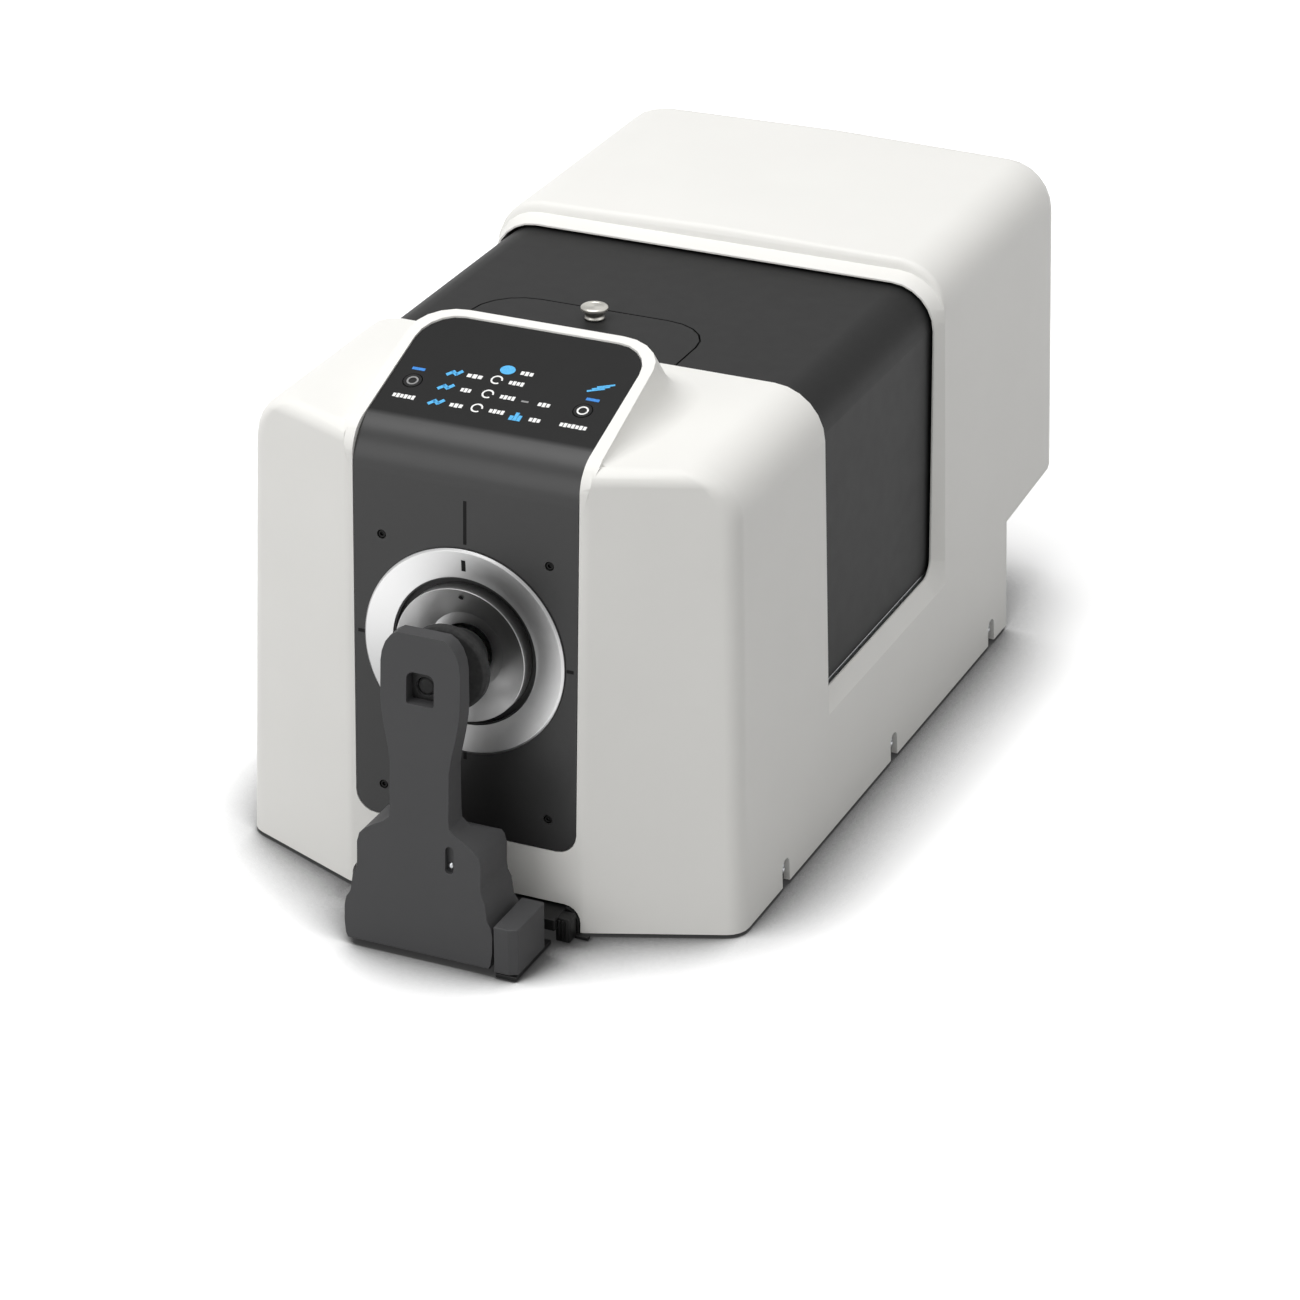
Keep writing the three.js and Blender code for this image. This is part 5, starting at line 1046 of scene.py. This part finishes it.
@dataclass
class MeasuringPort(Assembly):
    """Port ring, seat, target mask, front screws and the index marks round them."""

    ring_r: float = 48.7
    bore_r: float = 35.0
    mask_r: float = 31.5
    seat_r: float = 40.0
    screw_spots: tuple[tuple[float, float], ...] = ((-40.6, 48.1), (40.6, 48.1), (-40.6, -73.7),
                                                    (40.6, -73.7))
    line_half: float = 0.8
    line_span: tuple[float, float] = (50.7, 71.2)
    tick_span: tuple[float, float] = (49.2, 52.6)
    print_lift: float = 0.02
    print_mm: float = 0.05
    ring_print_mm: float = 0.06
    dot_r: float = 1.2

    def build(self) -> None:
        """Builds the port."""
        shop, finishes = self.shop, self.finishes
        ring = rounded_profile([(41.0, -0.3, 0), (self.bore_r, -0.3, 0), (self.bore_r, -0.8, 0.2),
                                (self.ring_r - 1.0, -2.0, 0.5), (self.ring_r, -1.1, 0.5),
                                (self.ring_r, -0.3, 0), (41.0, -0.3, 0)])
        shop.piece("port_ring_look", shop.spun(ring[:-1], PORT, 160), finishes.ring,
                   "spun_metal", ("port_outer_ring",))
        mask = rounded_profile([(22.0, 2.5, 0), (12.7, 2.5, 0.1), (12.7, 1.0, 0.25),
                                (18.0, 1.0, 0.8), (31.3, -5.5, 0.04), (self.mask_r, -5.3, 0.04),
                                (self.mask_r, 2.5, 0.2), (22.0, 2.5, 0)])
        shop.piece("target_mask_look", shop.spun(mask[:-1], PORT, 160), finishes.mask,
                   "spun_metal", ("target_mask",), "mask", 28)
        seat = rounded_profile([(27.0, 6.2, 0), (14.0, 6.2, 0.2), (14.0, 2.8, 0.2),
                                (self.seat_r, 2.8, 0.2), (self.seat_r, 6.2, 0.2), (27.0, 6.2, 0)])
        shop.piece("port_seat_look", shop.spun(seat[:-1], PORT, 128), finishes.black,
                   "black_plastic", ("port_seat",))
        for number, (x, z) in enumerate(self.screw_spots, 1):
            self.screw(f"panel_screw_{number}", x, z)
        self.marks()

    def screw(self, node: str, x: float, z: float) -> None:
        """Small socket screw flush with the front panel.

        Args:
            node: name of its solid.
            x: its place across the panel.
            z: its height over the port's centre.
        """
        placed = PORT @ Matrix.Translation((x * MM, 0, z * MM))
        profile = rounded_profile([(0, 7.0, 0), (1.5, 7.0, 0.3), (1.9, 6.3, 0.2), (1.9, 0.55, 0.3),
                                   (1.5, 0.3, 0.2), (0.9, 0.35, 0.1), (0.85, 1.6, 0.1),
                                   (0, 1.9, 0)])
        self.shop.piece(node + "_look", self.shop.spun(profile, placed, 32),
                        self.finishes.black_steel, "black_steel", (node,))

    def black_print(self, name: str, mesh: bmesh.types.BMesh, body: str = "instrument") -> None:
        """Adds a mark printed in black."""
        self.shop.piece(name, mesh, self.finishes.inks[Ink.BLACK], "black_plastic", (), body)

    def panel_mark(self, name: str, x: tuple[float, float], z: tuple[float, float]) -> None:
        """Printed bar on the front panel, square to the port's axis.

        Args:
            name: name of the piece.
            x: its left and right edge.
            z: its lower and upper edge, from the port's centre.
        """
        placed = PORT @ Matrix.Translation((0, -self.print_lift * MM, 0)) @ UPRIGHT
        outline = [(x[0], z[0]), (x[1], z[0]), (x[1], z[1]), (x[0], z[1])]
        self.black_print(name, self.shop.plate(outline, self.print_mm, placed))

    def marks(self) -> None:
        """Index marks on the panel, the ring and the mask."""
        across = (-self.line_half, self.line_half)
        near, far = self.tick_span
        self.panel_mark("index_line_top", across, self.line_span)
        self.panel_mark("index_tick_left", (-far, -near), across)
        self.panel_mark("index_tick_right", (near, far), across)
        self.panel_mark("index_tick_bottom", across, (-far, -near))
        tilt = math.pi / 2 + math.atan2(1.2, self.ring_r - 1 - self.bore_r)
        foot = Matrix.Translation((0, -0.85 * MM, self.bore_r * MM))
        tick = self.shop.plate([(-1.0, 3.6), (1.0, 3.6), (1.0, 8.9), (-1.0, 8.9)],
                               self.ring_print_mm, PORT @ foot @ Matrix.Rotation(tilt, 4, "X"))
        self.black_print("ring_index_tick", tick)
        slant = math.pi / 2 + math.atan2(6.5, 11.9)
        middle = Matrix.Translation((0, -3.9 * MM, 27 * MM))
        turns = [i * math.pi / 8 for i in range(16)]
        dot = self.shop.plate([(self.dot_r * math.cos(t), self.dot_r * math.sin(t)) for t in turns],
                              self.ring_print_mm, PORT @ middle @ Matrix.Rotation(slant, 4, "X"))
        self.black_print("mask_index_dot", dot, "mask")


@dataclass
class ControlPanel(Assembly):
    """Keys, key rings and the printed symbols of the sloped panel."""

    shift_mm: float = 13.2
    lift_mm: float = 0.01
    ink_mm: float = 0.06
    key_x: tuple[float, float] = (-43.0, 39.4)
    key_run: float = 38.2
    key_r: float = 4.2
    key_ring_r: tuple[float, float] = (2.7, 1.9)
    key_ink_mm: float = 0.12
    stroke_mm: float = 0.8
    low_row: float = 14.4
    disc_sides: int = 28
    count: int = field(default=0, init=False)

    def placed(self, x: float, run: float, turn_deg: float = 0.0) -> Matrix:
        """Frame just over the sloped panel.

        Args:
            x: place across the panel.
            run: place up the slope from its printed datum.
            turn_deg: turn in the panel's plane.

        Returns:
            The frame.
        """
        spot = Matrix.Translation((x * MM, (run + self.shift_mm) * MM, self.lift_mm * MM))
        return DECK @ spot @ Matrix.Rotation(math.radians(turn_deg), 4, "Z")

    def stamp(self, mesh: bmesh.types.BMesh, ink: Ink) -> None:
        """Adds a printed mark."""
        self.count += 1
        self.shop.piece(f"panel_print_{self.count:02d}", mesh, self.finishes.inks[ink],
                        "dark_panel")

    def bar(self, x: float, run: float, long: float, tall: float, ink: Ink,
            turn_deg: float = 0.0) -> None:
        """Printed bar with its middle at a place.

        Args:
            x: place across the panel.
            run: place up the slope.
            long: its length.
            tall: its height.
            ink: its ink.
            turn_deg: turn in the panel's plane.
        """
        a, b = long / 2, tall / 2
        outline = [(-a, -b), (a, -b), (a, b), (-a, b)]
        self.stamp(self.shop.plate(outline, self.ink_mm, self.placed(x, run, turn_deg)), ink)

    def strokes(self, x: float, run: float, long: float, number: int) -> None:
        """Printed row of short white strokes.

        Args:
            x: its middle across the panel.
            run: place up the slope.
            long: length of the row.
            number: how many strokes it has.
        """
        pitch = long / number
        for i in range(number):
            self.bar(x - long / 2 + (i + 0.5) * pitch, run, pitch * 0.78, 2.2 + 0.4 * (i % 2),
                     Ink.WHITE)

    def ring(self, x: float, run: float, radius: float, ink: Ink, arc_deg: float) -> None:
        """Printed ring, open at one end."""
        self.stamp(self.shop.ring_print(radius, radius - self.stroke_mm, self.ink_mm,
                                        self.placed(x, run), arc_deg), ink)

    def zigzag(self, x: float, run: float, ink: Ink) -> None:
        """Printed symbol of three rising strokes."""
        for step, turn in ((-2.0, 48.0), (0.0, -34.0), (2.0, 52.0)):
            self.bar(x + step, run + 0.3 * step, 3.7, 1.8, ink, turn)

    def tower(self, x: float, run: float, ink: Ink) -> None:
        """Printed symbol of three upright strokes."""
        for step, tall in ((-1.9, 2.8), (0.0, 5.2), (1.9, 3.6)):
            self.bar(x + step, run - 2.4 + tall / 2, 1.7, tall, ink)

    def disc(self, x: float, run: float, rx: float, ry: float, ink: Ink) -> None:
        """Printed filled oval.

        Args:
            x: place across the panel.
            run: place up the slope.
            rx: half its width.
            ry: half its height.
            ink: its ink.
        """
        turns = [2 * math.pi * i / self.disc_sides for i in range(self.disc_sides)]
        outline = [(rx * math.cos(turn), ry * math.sin(turn)) for turn in turns]
        self.stamp(self.shop.plate(outline, self.ink_mm, self.placed(x, run)), ink)

    def key(self, side: str, x: float, ink: Ink) -> None:
        """Round key with a dished top and a printed ring.

        Args:
            side: left or right.
            x: place across the panel.
            ink: ink of the ring.
        """
        node, body = f"{side}_button", f"{side}_key"
        r = self.key_r
        middle = DECK @ Matrix.Translation((x * MM, self.key_run * MM, 0))
        profile = rounded_profile([(0, 3.8, 0), (r + 0.8, 3.8, 0.2), (r + 0.8, 2.8, 0.2),
                                   (r, 2.8, 0), (r, -0.25, 0.35), (r * 0.7, -0.05, 0.5),
                                   (0, 0.05, 0)])
        cap = self.shop.spun(profile, middle @ Matrix.Rotation(-math.pi / 2, 4, "X"), 64)
        self.shop.piece(node + "_look", cap, self.finishes.key, "dark_panel", (node,), body)
        ring = self.shop.ring_print(*self.key_ring_r, self.key_ink_mm, middle)
        self.shop.piece(node + "_ring", ring, self.finishes.inks[ink], "dark_panel", (), body)

    def build(self) -> None:
        """Builds keys and printing."""
        self.key("left", self.key_x[0], Ink.GREY)
        self.key("right", self.key_x[1], Ink.WHITE)
        self.shop.dress("keypad_board", self.finishes.board)
        self.bar(-43.6, 32.8, 6.2, 1.7, Ink.BLUE)
        self.strokes(-42.4, self.low_row, 11.0, 6)
        for run, long in ((34.2, 6.0), (24.7, 4.0), (self.low_row, 5.0)):
            self.zigzag(-26.5, run, Ink.CYAN)
            self.strokes(-16.8, run, long * 1.3, 3)
        self.disc(-4.1, 41.8, 3.6, 2.9, Ink.CYAN)
        self.strokes(5.4, 41.4, 6.4, 3)
        for x, run in ((-6.2, 34.5), (-6.2, 24.9), (-7.1, 15.2)):
            self.ring(x, run, 2.8, Ink.WHITE, 310.0)
            self.strokes(x + 9.6, run - 0.2, 7.4, 4)
        self.bar(12.0, 24.2, 3.4, 1.0, Ink.GREY)
        self.strokes(21.2, 24.2, 6.0, 3)
        self.tower(12.2, 14.0, Ink.CYAN)
        self.strokes(21.2, 14.0, 5.6, 3)
        for step in (-1.7, 0.0, 1.7):
            self.bar(41.3 + step, 40.7 + step, 8.0, 1.1, Ink.CYAN, 24.0)
        self.bar(40.9, 32.6, 6.2, 1.7, Ink.BLUE)
        self.strokes(39.4, self.low_row, 13.0, 7)


@dataclass
class ChamberLid(Assembly):
    """Sliding lid, its access door, hinge pin and knob, and the rails below."""

    def build(self) -> None:
        """Builds the lid."""
        shop, finishes = self.shop, self.finishes
        shop.refined("lid", finishes.lid, "dark_lid", 0.35, 2, 33, "lid")
        shop.refined("access_door", finishes.lid, "dark_lid", 0.4, 2, 33, "door")
        shop.refined("door_hinge_pin", finishes.steel, "steel", 0.2, body="lid")
        placed = Matrix.Translation(at(*KNOB_MM)) @ UPRIGHT
        profile = rounded_profile([(0, 0.3, 0), (4.8, 0.3, 0.3), (4.7, 0.9, 0.3), (4.2, 2.0, 1.5),
                                   (5.0, 3.6, 1.2), (6.5, 4.6, 0.4), (6.5, 5.9, 0.6),
                                   (5.7, 6.55, 0.5), (4.7, 6.45, 0.5), (4.1, 6.1, 0.5),
                                   (0, 6.0, 0)], 6)
        shop.piece("door_knob_look", shop.spun(profile, placed, 96), finishes.knob, "spun_metal",
                   ("door_knob",), "door")
        for side in ("left", "right"):
            shop.refined("lid_rail_" + side, finishes.steel, "steel", 0.2)


@dataclass
class SampleHolder(Assembly):
    """Swinging arm with its pad, springs, bracket, floor plate and side block."""

    spring_reach_mm: float = 3.2
    window_back: float = -32.9
    slot_mm: tuple[float, float] = (15.0, 48.0)
    slot_back: float = -42.0
    ball_r: float = 1.5
    stop_mm: tuple[float, float] = (49.0, 6.5)
    stop_r: float = 7.4
    stop_low: float = -5.9
    stop_left: float = 1.3
    rib_x: tuple[float, ...] = (50.9, 52.7, 54.5)
    rib_half: float = 0.45

    def build(self) -> None:
        """Builds the holder."""
        shop, finishes = self.shop, self.finishes
        shop.refined("holder_arm", finishes.arm, "dark_panel", 1.1, 4, 32, "arm")
        shop.refined("holder_bracket", finishes.black, "black_plastic", 0.4)
        shop.refined("floor_tongue", finishes.black, "black_plastic", 0.3)
        shop.refined("damper_block", finishes.arm, "black_plastic", 1.0, 4)
        shop.refined("holder_hinge_pin", finishes.steel, "steel", 0.3)
        self.pad()
        self.details()
        self.coil("torsion_spring", "instrument")
        spring = self.coil("pad_spring", "arm")
        low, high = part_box("pad_spring")
        share = 1 + self.spring_reach_mm * MM / (high.y - low.y)
        mesh = spring.data
        for vert in mesh.vertices:
            vert.co.y = low.y + (vert.co.y - low.y) * share
        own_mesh(spring)

    def details(self) -> None:
        """Plate round the stem in the arm's window, latch ball in its slot and the stop block."""
        back, front = self.window_back, self.window_back - 0.5
        washer = rounded_profile([(7.5, back, 0), (4.6, back, 0.1), (4.6, front, 0.15),
                                  (10.5, front, 0.15), (10.5, back, 0.1), (7.5, back, 0)])
        self.shop.piece("window_washer", self.shop.spun(washer[:-1], PORT_AXIS, 48),
                        self.finishes.black, "black_plastic", (), "arm")
        x, z = self.slot_mm
        ball = bmesh.new()
        bmesh.ops.create_uvsphere(ball, u_segments=24, v_segments=16, radius=self.ball_r * MM)
        bmesh.ops.scale(ball, vec=(1, 0.7, 1.1), verts=ball.verts)
        bmesh.ops.translate(ball, vec=at(x, self.slot_back, z), verts=ball.verts)
        self.shop.piece("latch_ball", ball, self.finishes.steel, "steel", (), "arm")
        self.stop_block()

    def stop_block(self) -> None:
        """Black ribbed block at the right end of the cover's notch, with its foot strip."""
        shop = self.shop
        middle_x, middle_z = self.stop_mm
        reach, low, left = self.stop_r, self.stop_low, self.stop_left
        turns = [math.radians(8 * i) for i in range(11)]
        outline = [(left, low), (reach, low)]
        outline += [(reach * math.cos(turn), reach * math.sin(turn)) for turn in turns]
        outline.append((left, reach * math.sin(turns[-1])))
        upright = Matrix.Translation(at(middle_x, 9.0, middle_z)) @ UPRIGHT
        self.black_piece("stop_block", shop.plate(outline, 10.0, upright))
        self.black_piece("stop_body", shop.box(at(48.8, -8.6, 0.5), at(55.8, -1.3, 12.6), 0.8))
        for number, x in enumerate(self.rib_x, 1):
            low_end, high_end = at(x - self.rib_half, -9.4, 1.4), at(x + self.rib_half, -8.4, 11.6)
            self.black_piece(f"stop_rib_{number}", shop.box(low_end, high_end, 0.2))
        outline = [(left, -2.9), (13.0, -2.9), (13.0, -0.2), (left, -0.2)]
        flat = Matrix.Translation(at(middle_x, 0, 0.4))
        self.black_piece("stop_foot", shop.plate(outline, 1.6, flat, 0.2))

    def black_piece(self, name: str, mesh: bmesh.types.BMesh) -> None:
        """Adds a small black moulding on the instrument."""
        self.shop.piece(name, mesh, self.finishes.black, "black_plastic")

    def pad(self) -> None:
        """Rubber pad with its nose, rim and stem."""
        low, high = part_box("sample_pad")
        tip = (high.y - FACE_Y) / MM
        end = (low.y - FACE_Y) / MM
        profile = rounded_profile([(0, end, 0), (3.2, end, 0.8), (4.0, end + 0.9, 0.4),
                                   (4.0, -15.5, 0.3), (18.6, -15.5, 1.2), (20.0, -14.4, 0.8),
                                   (20.0, -10.6, 0.8),
                                   (18.8, -9.5, 0.8), (13.6, -9.5, 0.5), (12.8, -8.8, 0.4),
                                   (12.0, tip, 0.8), (0, tip, 0)], 5)
        self.shop.piece("sample_pad_look", self.shop.spun(profile, PORT_AXIS, 96),
                        self.finishes.rubber, "rubber", ("sample_pad",), "pad")

    def coil(self, node: str, body: str) -> bpy.types.Object:
        """Round version of a coil spring.

        Args:
            node: name of the spring's solid.
            body: body that it rides on.

        Returns:
            The spring.
        """
        mesh = self.shop.joined_copy(node)
        bmesh.ops.join_triangles(mesh, faces=mesh.faces, angle_face_threshold=0.7,
                                 angle_shape_threshold=0.9)
        thing = self.shop.piece(node + "_look", mesh, self.finishes.steel, "steel", (node,), body,
                                80)
        smooth = thing.modifiers.new("round_wire", "SUBSURF")
        smooth.levels = 1
        smooth.render_levels = 1
        return thing


@dataclass
class Optics(Assembly):
    """Sphere, lamp, optical deck, chamber walls, lens and spectrometer."""

    lens_rise: float = 2.6
    lens_steps: int = 8

    def build(self) -> None:
        """Builds the optics."""
        shop, finishes = self.shop, self.finishes
        for node in ("sphere_front_half", "sphere_rear_half"):
            shop.refined(node, finishes.coat, "sphere_coat", 0.3)
        for node in ("sphere_cradle", "lamp_housing", "optical_deck", "lens_mount"):
            shop.refined(node, finishes.sheet, "sheet", 0.4)
        for node in ("chamber_front_wall", "chamber_rear_wall", "spectrometer"):
            shop.refined(node, finishes.flock, "black_plastic", 0.4)
        shop.refined("lens_barrel", finishes.anodised, "lens_tube", 0.4)
        shop.refined("flash_lamp", finishes.glass, "glass", 0.5)
        self.lens()

    def lens(self) -> None:
        """Receiving lens with two domed faces."""
        low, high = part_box("receiving_lens")
        start = (low.y - FACE_Y) / MM
        thick = (high.y - low.y) / MM
        r = (high.x - low.x) / 2 / MM
        shares = [i / self.lens_steps for i in range(self.lens_steps + 1)]
        points = [(r * share, self.lens_rise * share ** 2) for share in shares]
        points += [(r * share, thick - self.lens_rise * share ** 2) for share in reversed(shares)]
        placed = Matrix.Translation(at(0, start, PORT_Z))
        self.shop.piece("receiving_lens_look", self.shop.spun(points, placed, 96),
                        self.finishes.glass, "glass", ("receiving_lens",), smooth_deg=50)


@dataclass
class Electronics(Assembly):
    """Boards with their components, capacitor, transformer and rear connectors."""

    gap_mm: float = 0.2
    chip_mm: float = 1.8
    chips: tuple[tuple[float, ...], ...] = ((90, 60, 18, 18), (118, 30, 12, 12), (70, 20, 16, 8),
                                            (110, 78, 22, 8))
    parts: tuple[tuple[float, ...], ...] = ((12, 12, 10, 18, 14), (100, 20, 16, 10, 12),
                                            (104, 70, 12, 12, 9), (16, 70, 14, 8, 10))

    def component(self, name: str, low: Vector, size: Vector) -> None:
        """Black component on a board."""
        mesh = self.shop.box(low, low + size * MM, 0.25)
        self.shop.piece(name, mesh, self.finishes.black, "black_plastic")

    def build(self) -> None:
        """Builds the electronics."""
        shop, finishes = self.shop, self.finishes
        for node in ("main_board", "power_board"):
            shop.dress(node, finishes.board)
        low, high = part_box("main_board")
        for number, (x, z, wide, tall) in enumerate(self.chips, 1):
            corner = Vector((low.x + x * MM, high.y + self.gap_mm * MM, low.z + z * MM))
            self.component(f"board_chip_{number}", corner, Vector((wide, self.chip_mm, tall)))
        low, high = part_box("power_board")
        for number, (x, y, *size) in enumerate(self.parts, 1):
            corner = Vector((low.x + x * MM, low.y + y * MM, high.z + self.gap_mm * MM))
            self.component(f"power_part_{number}", corner, Vector(size))
        shop.refined("transformer", finishes.core, "core", 0.6)
        shop.refined("flash_capacitor", finishes.black, "black_plastic", 1.2, 3)
        shop.refined("connector_plate", finishes.black, "black_plastic", 0.3)
        shop.refined("power_inlet", finishes.black, "black_plastic", 0.3)
        shop.refined("data_socket", finishes.steel, "steel", 0.25)
        shop.refined("switch_frame", finishes.black, "black_plastic", 0.4)
        shop.refined("switch_rocker", finishes.black, "black_plastic", 0.4, body="rocker")


def main() -> None:
    """Builds the studio and the instrument."""
    logging.basicConfig(level=logging.INFO, format="%(name)s: %(message)s")
    Studio().build()
    shop = Workshop(Finishes())
    for kind in (Housing, MeasuringPort, ControlPanel, ChamberLid, SampleHolder, Optics,
                 Electronics):
        kind(shop).build()
        LOG.info("%s finished", kind.__name__)


if __name__ == "__main__":
    main()
